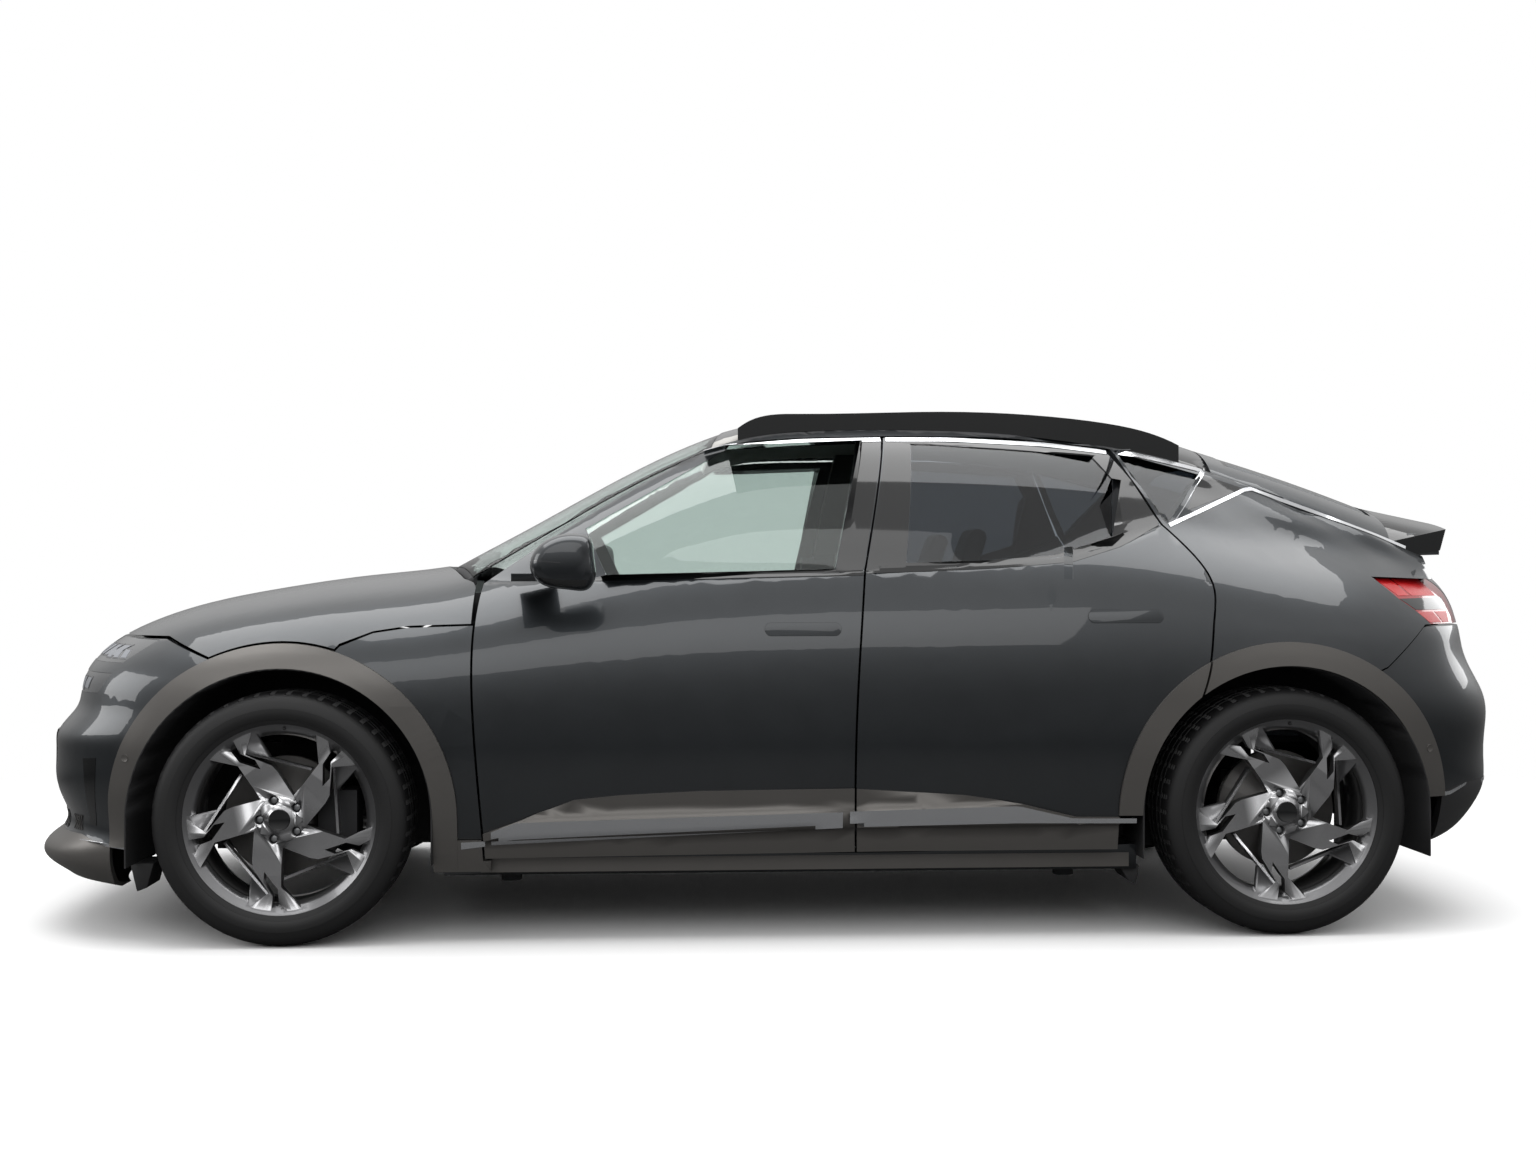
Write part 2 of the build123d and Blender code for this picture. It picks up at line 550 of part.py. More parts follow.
def make_ends():
    """The bumpers with the lamps let into them."""
    nose = end_slab(-1, front(-150), np.linspace(145, 868, 24), BUMPER_WALL)
    nose = nose - cross_cylinder(FRONT_AXLE, AXLE_HEIGHT, TRIM_RADIUS + FIT_GAP, (LEFT_END, RIGHT_END))
    behind = (FRONT_AXLE - TRIM_RADIUS - FIT_GAP, front(900))
    nose = nose - box(behind, (LEFT_END, RIGHT_END), (-50, AXLE_HEIGHT))
    under_hood = closed([(front(-352), 874), (front(-196), 816), (front(200), 780), (front(200), 1000),
                         (front(-352), 1000)])
    nose = nose - prism(under_hood, SHUT_GAP, LEFT_END, RIGHT_END)
    lamps = []
    for outline, heights in ((HEAD_LAMP, np.linspace(790, 868, 6)), (LOW_LAMP, np.linspace(700, 780, 5))):
        hole = prism(closed(outline), 0.0, LEFT_END, -LAMP_INNER)
        nose = nose - hole - mirrored(hole)
        lamp = end_slab(-1, front(-150), heights, LAMP_DEPTH, inset=2.0)
        lamps.append(lamp & prism(closed(outline), -FIT_GAP, LEFT_END, -LAMP_INNER - FIT_GAP))
    lip = prism(closed(LIP_LINE), 0.0, LEFT_END, RIGHT_END)
    keep("front_bumper", *large_solids(nose - lip))
    keep("front_lip", *large_solids(nose & prism(closed(LIP_LINE), -FIT_GAP, LEFT_END, RIGHT_END)))
    keep_both("headlamps", *lamps)
    tail = end_slab(1, rear(250), np.linspace(226, 900, 18), BUMPER_WALL)
    tail = tail & prism(closed(REAR_BUMPER_SEAM), -HALF_GAP, LEFT_END, RIGHT_END)
    tail = tail - cross_cylinder(REAR_AXLE, AXLE_HEIGHT, TRIM_RADIUS + FIT_GAP, (LEFT_END, RIGHT_END))
    tail = tail - box((rear(0), rear(TRIM_RADIUS + FIT_GAP)), (LEFT_END, RIGHT_END), (0, AXLE_HEIGHT))
    keep("rear_bumper", *large_solids(tail - prism(closed(VALANCE_LINE), 0.0, LEFT_END, RIGHT_END)))
    keep("rear_valance", *large_solids(tail & prism(closed(VALANCE_LINE), -FIT_GAP, LEFT_END, RIGHT_END)))
    lamp = end_slab(1, rear(300), np.linspace(907, 1049, 7), TAIL_LAMP_DEPTH, inset=1.0)
    lamp = lamp & prism(closed(TAIL_LAMP), 0.0, LEFT_END, -GATE_HALF - SHUT_GAP)
    keep_both("tail_lamps", lamp)


def make_hood():
    """The clamshell hood, lofted through sections across the car."""
    stations = [front(-600), front(-560), front(-500), front(-420), front(-320), front(-200), front(-60),
                front(90), front(240), front(390), front(540)]
    sections = []
    for x in stations:
        low = 790.0 if x < front(200) else 790.0 + 90.0 * min(1.0, (x - front(200)) / 250)
        base = float(lower_body_y(x, low))
        angles = np.linspace(np.arctan2(low - ROLL_START, base), np.pi / 2, 9)
        outer, inner = [], []
        for angle in angles:
            way_y, way_z = float(np.cos(angle)), float(np.sin(angle))
            reach = float(shoulder_top_at(x)) - ROLL_START
            if way_y > 1e-6:
                reach = float(solve(lambda r: lower_body_y(x, ROLL_START + r * way_z) - r * way_y,
                                    10.0, 1200.0, 0.0))
            outer.append((reach * way_y, ROLL_START + reach * way_z))
            inner.append(((reach - HOOD_WALL) * way_y, ROLL_START + (reach - HOOD_WALL) * way_z))
        full = [(-y, z) for y, z in outer] + [(y, z) for y, z in outer[-2::-1]]
        under = [(-y, z) for y, z in inner] + [(y, z) for y, z in inner[-2::-1]]
        full, under = ([Vector(x, y, z) for y, z in line] for line in (full, under))
        sections.append(Wire([Edge.make_spline(full), Edge.make_line(full[-1], under[-1]),
                              Edge.make_spline(under[::-1]), Edge.make_line(under[0], full[0])]))
    hood = Solid.make_loft(sections)
    hood = hood & prism(closed(HOOD_SIDE), 0.0, LEFT_END, RIGHT_END)
    hood = hood - arch_cutter(FRONT_AXLE, TRIM_RADIUS + SHUT_GAP, (LEFT_END, RIGHT_END))
    right = [(front(530), 725), (front(520), 690)]
    right += [(front(378 + 108 * (y / 640) ** 2), y) for y in (640, 560, 430, 300, 150)]
    cowl = [(x, -y) for x, y in right[::-1]] + [(front(530), -1000), (front(900), -1000), (front(900), 1000),
                                                (front(530), 1000)] + right + [(front(378), 0)]
    hood = hood - plan_cutter(cowl)
    keep("hood", hood)


def make_fenders():
    """The front fenders behind the wheel and the satin arch trims and sill covers."""
    area = closed([(front(250), 300), (front(600), 300), (front(600), 908), (front(540), 908),
                   (front(352), 902), (front(252), 887), (front(162), 850), (front(122), 802),
                   (front(90), 786)])
    fender = side_slab(side_y, (front(100), front(600)), lambda x: 300.0, lambda x: 915.0, FENDER_WALL,
                       columns=8, rows=14)
    fender = (fender & prism(area)) - arch_cutter(FRONT_AXLE, TRIM_RADIUS + FIT_GAP)
    fender = fender - prism(FRONT_DOOR, HALF_GAP)
    keep_both("front_fenders", fender.solids().sort_by(SortBy.VOLUME)[-1])


FRONT_STRIP_TOP = [(front(500), 290), (front(561), 313), (front(676), 354), (front(1650), 378)]
REAR_STRIP_TOP = [(front(1620), 374), (rear(-780), 391), (rear(-620), 352), (rear(-380), 351)]
FRONT_LENS = [(front(500), 290), (front(561), 313), (front(676), 354), (front(727), 376), (front(761), 387),
              (front(828), 412), (front(964), 425), (front(1186), 435), (front(1660), 440)]
REAR_LENS = [(front(1610), 440), (rear(-1081), 427), (rear(-948), 418), (rear(-866), 406), (rear(-780), 391),
             (rear(-620), 352), (rear(-380), 351)]


def trim_ring(axle, x_range, low, depth=ARCH_TRIM_DEPTH):
    """The satin trim round a wheel opening, standing proud of the body."""
    ring = side_slab(side_y, x_range, lambda x: 205.0, lambda x: 866.0, depth, columns=14, rows=12,
                     inset=-ARCH_TRIM_PROUD)
    ring = (ring & arch_cutter(axle, TRIM_RADIUS)) - arch_cutter(axle, ARCH_RADIUS)
    return ring - box((axle, axle + 700), (LEFT_OUT, LEFT_IN), (0, low))


def make_trims():
    """Arch trims, the silver strip and the satin covers along the sill."""
    front_ring = trim_ring(FRONT_AXLE, (front(-520), front(520)), 205)
    front_ring = front_ring - box((front(-700), FRONT_AXLE), (LEFT_OUT, LEFT_IN), (0, 278))
    rear_ring = trim_ring(REAR_AXLE, (rear(-520), rear(520)), 400)
    door_cut = prism(REAR_DOOR, -HALF_GAP)
    door_ring = rear_ring & door_cut
    door_ring = door_ring - box((rear(-700), REAR_AXLE), (LEFT_OUT, LEFT_IN), (0, 356))
    quarter_ring = rear_ring - prism(REAR_DOOR, HALF_GAP)
    quarter_ring = quarter_ring.solids().sort_by(SortBy.VOLUME)[-1]
    sill_end = side_slab(side_y, (front(TRIM_RADIUS + FIT_GAP), front(590)), lambda x: 205.0,
                         lambda x: 298.0, ARCH_TRIM_DEPTH - 6, columns=4, rows=6, inset=-ARCH_TRIM_PROUD)
    sill_end = (sill_end - prism(FRONT_DOOR, HALF_GAP)).solids().sort_by(SortBy.VOLUME)[-1]
    keep_both("front_arch_trims", front_ring, sill_end)
    keep_both("rear_arch_trims", quarter_ring)
    low_line = [(front(500), 292), (front(1636), 326), (rear(-400), 331)]
    plans = {
        "front": (FRONT_DOOR, FRONT_STRIP_TOP, FRONT_LENS, (front(540), front(1650))),
        "rear": (REAR_DOOR, REAR_STRIP_TOP, REAR_LENS, (front(1625), rear(-ARCH_RADIUS))),
    }
    for name, (outline, strip_top, lens, x_range) in plans.items():
        floor_line = [(x_range[0], 225), (x_range[1], 225)]
        cover = side_slab(side_y, x_range, lambda x: 236.0, lambda x: 448.0, COVER_PROUD - FIT_GAP,
                          columns=10, rows=8, inset=-COVER_PROUD)
        cover = cover & prism(closed(lens + floor_line[::-1]))
        strip = side_slab(side_y, x_range, lambda x: 280.0, lambda x: 400.0, STRIP_PROUD - FIT_GAP,
                          columns=10, rows=6, inset=-STRIP_PROUD)
        strip = strip & prism(closed(strip_top + low_line[::-1]))
        cladding = (cover + strip) & prism(outline, -HALF_GAP)
        if name == "rear":
            cladding = cladding - arch_cutter(REAR_AXLE, TRIM_RADIUS + FIT_GAP)
            keep_pair("rear_door_cladding", *large_solids(cladding, 5e4), door_ring)
        else:
            keep_pair("front_door_cladding", *large_solids(cladding, 5e4))


def ring_profile(points):
    """A ring about the Y axis from a profile of (y, radius) points."""
    face = Face(Wire.make_polygon([Vector(0, y, r) for y, r in points], close=True))
    return Solid.revolve(face, 360, Axis.Y)


def wheel_prism(points, y_low, y_high):
    """A prism along Y from (x, z) points."""
    face = Face(Wire.make_polygon([Vector(x, y_low, z) for x, z in points], close=True))
    return swept_face(face, (0, y_high - y_low, 0))


def facet(shape, start, end, slope):
    """Cut a spoke's face back on the left of a crease, so that it falls away at a slope in degrees."""
    along = Vector(end[0] - start[0], 0, start[1] - end[1]).normalized()
    side = along.cross(Vector(0, 1, 0))
    normal = Vector(0, -1, 0) + side * float(np.tan(np.radians(slope)))
    return shape - half_space((start[0], -RIM_WIDTH / 2 + FACE_DEPTH, -start[1]), tuple(normal), 900.0)


def make_rim():
    """A left wheel about the origin, its face towards -Y: barrel, dish, hub and five directional blades."""
    edge = RIM_WIDTH / 2
    face_y = -edge + FACE_DEPTH
    barrel = ring_profile([
        (-edge, RIM_RADIUS), (-edge + 9, RIM_RADIUS), (-edge + 12, BEAD_RADIUS), (-edge + 26, BEAD_RADIUS),
        (-60, 262), (-42, 248), (40, 248), (70, 262), (edge - 26, BEAD_RADIUS), (edge - 12, BEAD_RADIUS),
        (edge - 9, RIM_RADIUS), (edge, RIM_RADIUS), (edge, RIM_RADIUS - RIM_WALL),
        (edge - 4, RIM_RADIUS - 26),
        (70, 253), (40, 239), (-42, 239), (-60, 252), (-edge + 46, 246), (-edge + 42, DISH_RADIUS),
        (-edge + 34, DISH_RADIUS), (-edge + 1.5, RIM_RADIUS - 8), (-edge, RIM_RADIUS - 6)])
    blade = [(-70, 20), (-76, 114), (-73, 137), (-30, 205), (-100, 262), (-90, 268), (-27, 270),
             (-20, 216), (-45, 177), (-42, 146), (-22, 174), (-5, 197), (-3, 234), (34, 270), (68, 262),
             (4, 191), (6, 114), (15, 10)]
    spoke = wheel_prism([(x, -r) for x, r in blade], face_y, face_y + SPOKE_DEPTH)
    inside = cross_cylinder(0, 0, RIM_RADIUS - 16, (-edge, -edge + 20))
    inside = inside + cross_cylinder(0, 0, RIM_RADIUS - 28, (-edge + 20, edge))
    spoke = spoke & inside
    spoke = facet(spoke, (-56, 46), (1, 120), 10)
    spoke = facet(spoke, (120, 158), (-120, 158), 5)
    web = wheel_prism([(-30, -205), (-82, -160), (-90, -262)], face_y + 12, face_y + SPOKE_DEPTH) & inside
    rib = wheel_prism([(-25, -215), (-31, -219), (-158, -65), (-152, -61)], face_y + 6, face_y + SPOKE_DEPTH)
    hub = cross_cylinder(0, 0, 66, (face_y, face_y + 62))
    rim = barrel + hub
    for k in range(SPOKES):
        turn = Rotation(0, 360 / SPOKES * k, 0)
        rim = rim + (turn * spoke)
        rim = rim + (turn * web)
        rim = rim + (turn * rib)
    rim = rim - cross_cylinder(0, 0, HUB_BORE / 2, (face_y + 20, face_y + 70))
    for k in range(SPOKES):
        angle = np.radians(36 + 360 / SPOKES * k)
        x, z = LUG_CIRCLE / 2 * np.cos(angle), LUG_CIRCLE / 2 * np.sin(angle)
        rim = rim - cross_cylinder(x, z, LUG_WELL / 2, (face_y - 5, face_y + 26))
    return rim


def make_wheels():
    """Four wheels, each a rim with its brake disc, and a tyre."""
    edge = TYRE_WIDTH / 2
    bead = RIM_WIDTH / 2 - 20
    foot = BEAD_RADIUS + FIT_GAP
    tyre = ring_profile([(-bead, foot), (-edge, 312), (-edge + 8, 348), (-edge + 32, TYRE_RADIUS),
                         (edge - 32, TYRE_RADIUS), (edge - 8, 348), (edge, 312), (bead, foot)])
    rim = make_rim()
    disc = cross_cylinder(0, 0, DISC_RADIUS, (-20, 10)) + cross_cylinder(0, 0, 78, (-48 + FIT_GAP, -20))
    for name, axle in (("front", FRONT_AXLE), ("rear", REAR_AXLE)):
        place = Location((axle, -WHEEL_Y, AXLE_HEIGHT))
        keep_pair(name + "_rim", rim.moved(place))
        keep_pair(name + "_tyre", tyre.moved(place))
        keep_pair(name + "_brake_disc", disc.moved(place))


def rounded_box(x_range, y_range, z_range, radius):
    """A box with all its edges rounded."""
    solid = box(x_range, y_range, z_range)
    return solid.fillet(radius, solid.edges())


def leaning(shape, x, z, angle):
    """A shape turned about a cross axis at x and z, so that its top leans to the rear."""
    return shape.rotate(Axis((x, 0, z), (0, 1, 0)), angle)


def make_floor():
    """The floor, the flat battery below it, the bulkhead and the rear floor."""
    sill_end = REAR_AXLE - ARCH_RADIUS
    inner = SILL_INNER - FIT_GAP
    floor = box((front(452), sill_end), (-inner, inner), (FLOOR_TOP - FLOOR_WALL, FLOOR_TOP))
    riser = box((sill_end - 20, sill_end), (-inner, inner), (FLOOR_TOP - 5, 560))
    rear_floor = box((sill_end - 20, rear(640)), (-640, 640), (540, 560))
    under_floor = FLOOR_TOP - FLOOR_WALL
    battery = box((front(500), sill_end - 30), (-inner, inner), (BATTERY_BOTTOM, under_floor - FIT_GAP))
    bulkhead = box((front(436), front(452) - FIT_GAP), (-SILL_INNER, SILL_INNER), (under_floor, 945))
    shelf = box((front(405), front(452) - FIT_GAP), (-280, 280), (940, 1035))
    edge = roof_slab(lambda s: front(386) + 108 * s * s, lambda s: front(412) + 112 * s * s,
                     lambda x: float(seam_at(x)) - 12, 30, GLASS + GLASS_RECESS + 2 * FIT_GAP, rows=4)
    keep("floor", floor + riser + rear_floor)
    keep("battery_pack", battery)
    keep("bulkhead", bulkhead + shelf + edge)


def make_structure():
    """Front rails, crash beam, subframes with their motors and arms, and the wheel liners."""
    rails = []
    for side in (-1, 1):
        rail = box((front(-610), front(436) - FIT_GAP), sorted_pair(side * 395, side * 465), (430, 540))
        tower = box((front(-90), front(90)), sorted_pair(side * 395, side * 470), (535, 850))
        rails.append(rail + tower)
    beam = box((front(-640), front(-610)), (-560, 560), (450, 560))
    horns = box((NOSE, front(-635)), (-465, 465), (450, 540))
    horns = horns - box((NOSE, front(-640)), (-395, 395), (400, 600))
    horns = horns - nodes["front_bumper"][0]
    horns = [solid for solid in horns.solids() if solid.bounding_box().max.X > front(-642)]
    keep("front_structure", beam + rails[0] + rails[1] + horns)
    for name, axle, reach, ball in (("front", FRONT_AXLE, 400, KINGPIN), ("rear", REAR_AXLE, 400, 700)):
        frame = None
        for side in (-1, 1):
            bar = box((axle - 300, axle + 300), sorted_pair(side * 330, side * reach), (205, 255))
            frame = bar if frame is None else frame + bar
            for lift in (0, 190):
                start = Plane((axle, side * 360, 222 + lift), z_dir=(0, side, 0))
                arm = Solid.make_cylinder(14, abs(ball - 360), start)
                frame = frame + arm
            post = box((axle - 26, axle + 26), sorted_pair(side * 345, side * 385), (230, 428))
            frame = frame + post
            shaft = Solid.make_cylinder(15, 520, Plane((axle, side * 160, AXLE_HEIGHT), z_dir=(0, side, 0)))
            frame = frame + shaft
        for x in (axle - 270, axle + 220):
            frame = frame + box((x, x + 50), (-395, 395), (205, 250))
        motor = cross_cylinder(axle, AXLE_HEIGHT, 120, (-230, 230))
        motor = motor + box((axle - 60, axle + 60), (-200, 200), (240, 330))
        frame = frame + motor
        if name == "rear":
            for side in (-1, 1):
                width = sorted_pair(side * 680, side * (WHEEL_Y - 10 - FIT_GAP))
                carrier = cross_cylinder(axle, AXLE_HEIGHT, 60, width)
                upright = box((axle - 30, axle + 30), sorted_pair(side * 676, side * 716), (205, 430))
                frame = frame + carrier + upright
        keep(name + "_subframe", frame)
    liners = []
    for axle, inner in ((FRONT_AXLE, 474), (REAR_AXLE, 655)):
        outside = arch_cutter(axle, ARCH_RADIUS - FIT_GAP, (-920, -inner))
        inside = arch_cutter(axle, ARCH_RADIUS - FIT_GAP - LINER_WALL, (-1200, -inner - LINER_WALL))
        hole = cross_cylinder(axle, AXLE_HEIGHT, 240, (-800, -300))
        hole = hole + box((axle - 240, axle + 240), (-800, -300), (-60, AXLE_HEIGHT))
        liner = outside - inside - hole - box((axle - 600, axle + 600), (-1200, -300), (-400, 230))
        liners += [liner, mirrored(liner)]
    keep("wheel_liners", *liners)


def sorted_pair(a, b):
    """Two numbers, the lower first."""
    return (min(a, b), max(a, b))


def make_knuckles():
    """The front knuckles that steer: hub carrier, upright and brake caliper."""
    carrier = cross_cylinder(FRONT_AXLE, AXLE_HEIGHT, 34, (-WHEEL_Y + 10 + FIT_GAP, -724))
    upright = box((front(-32), front(32)), (-768, -724), (236 + FIT_GAP, 412 - 14 - FIT_GAP))
    caliper = box((front(95), front(205)), (-845, -745), (AXLE_HEIGHT - 75, AXLE_HEIGHT + 75))
    slot = cross_cylinder(FRONT_AXLE, AXLE_HEIGHT, DISC_RADIUS + 6, (-WHEEL_Y - 20 - 2, -WHEEL_Y + 10 + 2))
    hub = cross_cylinder(FRONT_AXLE, AXLE_HEIGHT, 92, (-1000, -WHEEL_Y + 12))
    bracket = box((front(20), front(130)), (-764, -742), (AXLE_HEIGHT - 30, AXLE_HEIGHT + 30))
    keep_pair("front_knuckle", (caliper - slot - hub) + bracket + upright + carrier)


def make_cabin():
    """Seats, dashboard, console and steering wheel."""
    seats = []
    for side in (-1, 1):
        y = side * SEAT_PLACE
        half = SEAT_WIDTH / 2
        across = (y - half, y + half)
        base = box((-60, 330), (y - 190, y + 190), (FLOOR_TOP + FIT_GAP, 440))
        cushion = rounded_box((-130, 400), across, (430, SEAT_HEIGHT), 40)
        back = leaning(rounded_box((330, 450), across, (500, 1060), 45), 390, 520, 20)
        head = leaning(rounded_box((350, 440), (y - 130, y + 130), (1085, 1260), 38), 390, 520, 20)
        stalk = leaning(box((384, 400), (y - 60, y + 60), (1040, 1110)), 390, 520, 20)
        seats.append(base + cushion + back + head + stalk)
    keep("front_seats", *seats)
    bench = rounded_box((760, 1290), (-610, 610), (FLOOR_TOP + FIT_GAP, SEAT_HEIGHT - 10), 40)
    bench = bench & box((700, REAR_AXLE - ARCH_RADIUS - 20 - FIT_GAP), (-700, 700), (0, 700))
    back = leaning(rounded_box((1130, 1240), (-600, 600), (575, 1060), 45), 1185, 575, 24)
    base = box((990, 1180), (-590, 590), (560 + FIT_GAP, 640))
    keep("rear_seat", bench, back + base)
    dash = box((front(480), front(850)), (-630, 630), (700, 1000))
    dash = dash.chamfer(160, 200, [dash.edges().filter_by(Axis.Y).sort_by(Axis.X)[-1]])
    keep("dashboard", dash)
    console = rounded_box((front(820), front(1820)), (-110, 110), (FLOOR_TOP + FIT_GAP, 560), 18)
    keep("console", console)
    plane = Plane((-455, -SEAT_PLACE, 880), z_dir=(1, 0, 0.45))
    ring = Solid.make_torus(178, 15, plane)
    hub = Solid.make_cylinder(62, 40, plane.offset(-25))
    corner = plane.from_local_coords(Vector(-170, -17, -8))
    spokes = Solid.make_box(340, 34, 16, Plane(corner, x_dir=plane.x_dir, z_dir=plane.z_dir))
    column = Solid.make_cylinder(26, 190, plane.offset(-200))
    wheel = (ring + hub + spokes + column) - dash
    keep("steering_wheel", wheel.solids().sort_by(SortBy.VOLUME)[-1])


def make_outside_parts():
    """Door mirrors and roof rails."""
    outline = [(-89, -2), (-66, 42), (-14, 72), (40, 78), (78, 66), (88, 24), (89, -58), (76, -76),
               (20, -80), (-60, -62), (-84, -36)]
    sections = []
    for y, size in ((-912, 0.62), (-935, 0.88), (-985, 1.0), (-1030, 0.93), (-1052, 0.66)):
        points = [Vector(front(799) + x * size + 12 * (1 - size), y, 1092 + z * size) for x, z in outline]
        sections.append(Wire([Edge.make_spline(points, periodic=True)]))
    shell = Solid.make_loft(sections)
    foot = box((front(655), front(765)), (-975, -790), (1036, 1058))
    foot = foot - nodes["front_door_left"][0]
    foot = foot.solids().sort_by(Axis.Y)[0]
    keep_pair("mirror", shell + foot)
    top = [(front(1310), 1505), (front(1350), 1530), (front(1504), 1550), (front(1972), 1559),
           (rear(-612), 1545), (rear(-454), 1527), (rear(-295), 1492), (rear(-215), 1458)]
    outline = [top, [top[-1], (rear(-215), 1400)], [(rear(-215), 1400), (front(1310), 1440)],
               [(front(1310), 1440), top[0]]]
    rail = prism(outline, 0.0, -556, -532)
    under = roof_slab(lambda s: front(1200), lambda s: rear(-100), lambda x: float(seam_at(x)) + 40, 170,
                      -FIT_GAP)
    rail = (rail - under) - nodes["roof_panel"][0]
    for solid in nodes["body_sides"]:
        rail = rail - solid
    keep_both("roof_rails", *large_solids(rail))


make_doors()
make_body_side()
make_top()
make_tailgate()
make_ends()
make_hood()
make_fenders()
make_trims()
make_wheels()
make_floor()
make_structure()
make_knuckles()
make_cabin()
make_outside_parts()

for name, solids in nodes.items():
    export_step(solids[0] if len(solids) == 1 else Compound(children=solids), f"parts/{name}.step")
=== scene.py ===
"""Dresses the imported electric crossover: finishes, trim, tyres, lamps, cabin, camera and light."""
import json
import logging
import math
from dataclasses import dataclass
from enum import Enum

import bmesh
import bpy
from mathutils import Matrix, Vector
from mathutils.bvhtree import BVHTree


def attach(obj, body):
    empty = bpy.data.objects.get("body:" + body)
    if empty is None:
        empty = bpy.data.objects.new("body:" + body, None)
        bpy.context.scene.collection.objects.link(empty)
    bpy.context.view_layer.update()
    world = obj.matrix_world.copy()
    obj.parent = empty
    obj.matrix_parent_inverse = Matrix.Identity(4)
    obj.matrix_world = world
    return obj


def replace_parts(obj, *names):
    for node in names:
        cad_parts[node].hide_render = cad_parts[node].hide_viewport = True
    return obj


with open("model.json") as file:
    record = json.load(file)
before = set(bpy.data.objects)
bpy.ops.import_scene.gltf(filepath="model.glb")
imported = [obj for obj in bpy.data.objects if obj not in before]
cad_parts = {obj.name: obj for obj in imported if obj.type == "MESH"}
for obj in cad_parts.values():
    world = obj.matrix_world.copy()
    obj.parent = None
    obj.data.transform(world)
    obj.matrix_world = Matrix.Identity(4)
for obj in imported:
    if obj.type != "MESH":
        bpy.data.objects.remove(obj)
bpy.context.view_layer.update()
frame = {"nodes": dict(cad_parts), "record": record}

LOG = logging.getLogger("crossover")
MM = 0.001
THIN = (0.0009, 0.0008)
PLATE = (0.001, 0.0009)
SIDES = {"left": -1, "right": 1}
FRONT_AXLE = -1.4375
REAR_AXLE = 1.4625
WHEEL_Y = 0.802
WHEEL_Z = 0.362


class View(Enum):
    """A side of the car from which trim is laid on its skin."""

    LEFT = (0.0, -1.0)
    RIGHT = (0.0, 1.0)
    FRONT = (-1.0, 0.0)
    REAR = (1.0, 0.0)

    @property
    def out(self) -> Vector:
        """The way from the car to the viewer."""
        return Vector((*self.value, 0.0))

    def place(self, along: float, z: float, reach: float) -> Vector:
        """A point of the view.

        Args:
            along: Place across the view: X from the sides, Y from the ends.
            z: Height.
            reach: Distance from the car's middle towards the viewer.

        Returns:
            The point.
        """
        if self in (View.LEFT, View.RIGHT):
            return Vector((along, self.out.y * reach, z))
        return Vector((self.out.x * reach, along, z))


VIEWS = {"left": View.LEFT, "right": View.RIGHT}


class Grain(Enum):
    """The small-scale detail that a finish carries."""

    PLAIN = "plain"
    FLAKE = "flake"
    PEBBLE = "pebble"
    WEAVE = "weave"
    BRUSHED = "brushed"
    CAST = "cast"
    RUBBER = "rubber"
    RIBBED = "ribbed"


class Nodes:
    """The nodes of a material or of the world.

    Args:
        owner: The material or the world.
        kind: The type of its shader.
    """

    def __init__(self, owner: bpy.types.ID, kind: str = "BSDF_PRINCIPLED") -> None:
        owner.use_nodes = True
        self.tree = owner.node_tree
        self.shader = next(node for node in self.tree.nodes if node.type == kind)

    def set(self, node: bpy.types.Node, inputs: dict) -> None:
        """Sets or links a node's inputs.

        Args:
            node: The node.
            inputs: A value or an output for each input, by the input's name or number.
        """
        for socket, value in inputs.items():
            if isinstance(value, bpy.types.NodeSocket):
                self.tree.links.new(value, node.inputs[socket])
            else:
                node.inputs[socket].default_value = value

    def add(
        self, kind: str, inputs: dict | None = None, output: str | int = 0, mode: tuple = (),
    ) -> bpy.types.NodeSocket:
        """Adds a node.

        Args:
            kind: Its type without the leading ShaderNode.
            inputs: A value or an output for each input.
            output: The output that is wanted.
            mode: A setting of the node and its value.

        Returns:
            The wanted output.
        """
        node = self.tree.nodes.new("ShaderNode" + kind)
        if mode:
            setattr(node, *mode)
        self.set(node, inputs or {})
        return node.outputs[output]


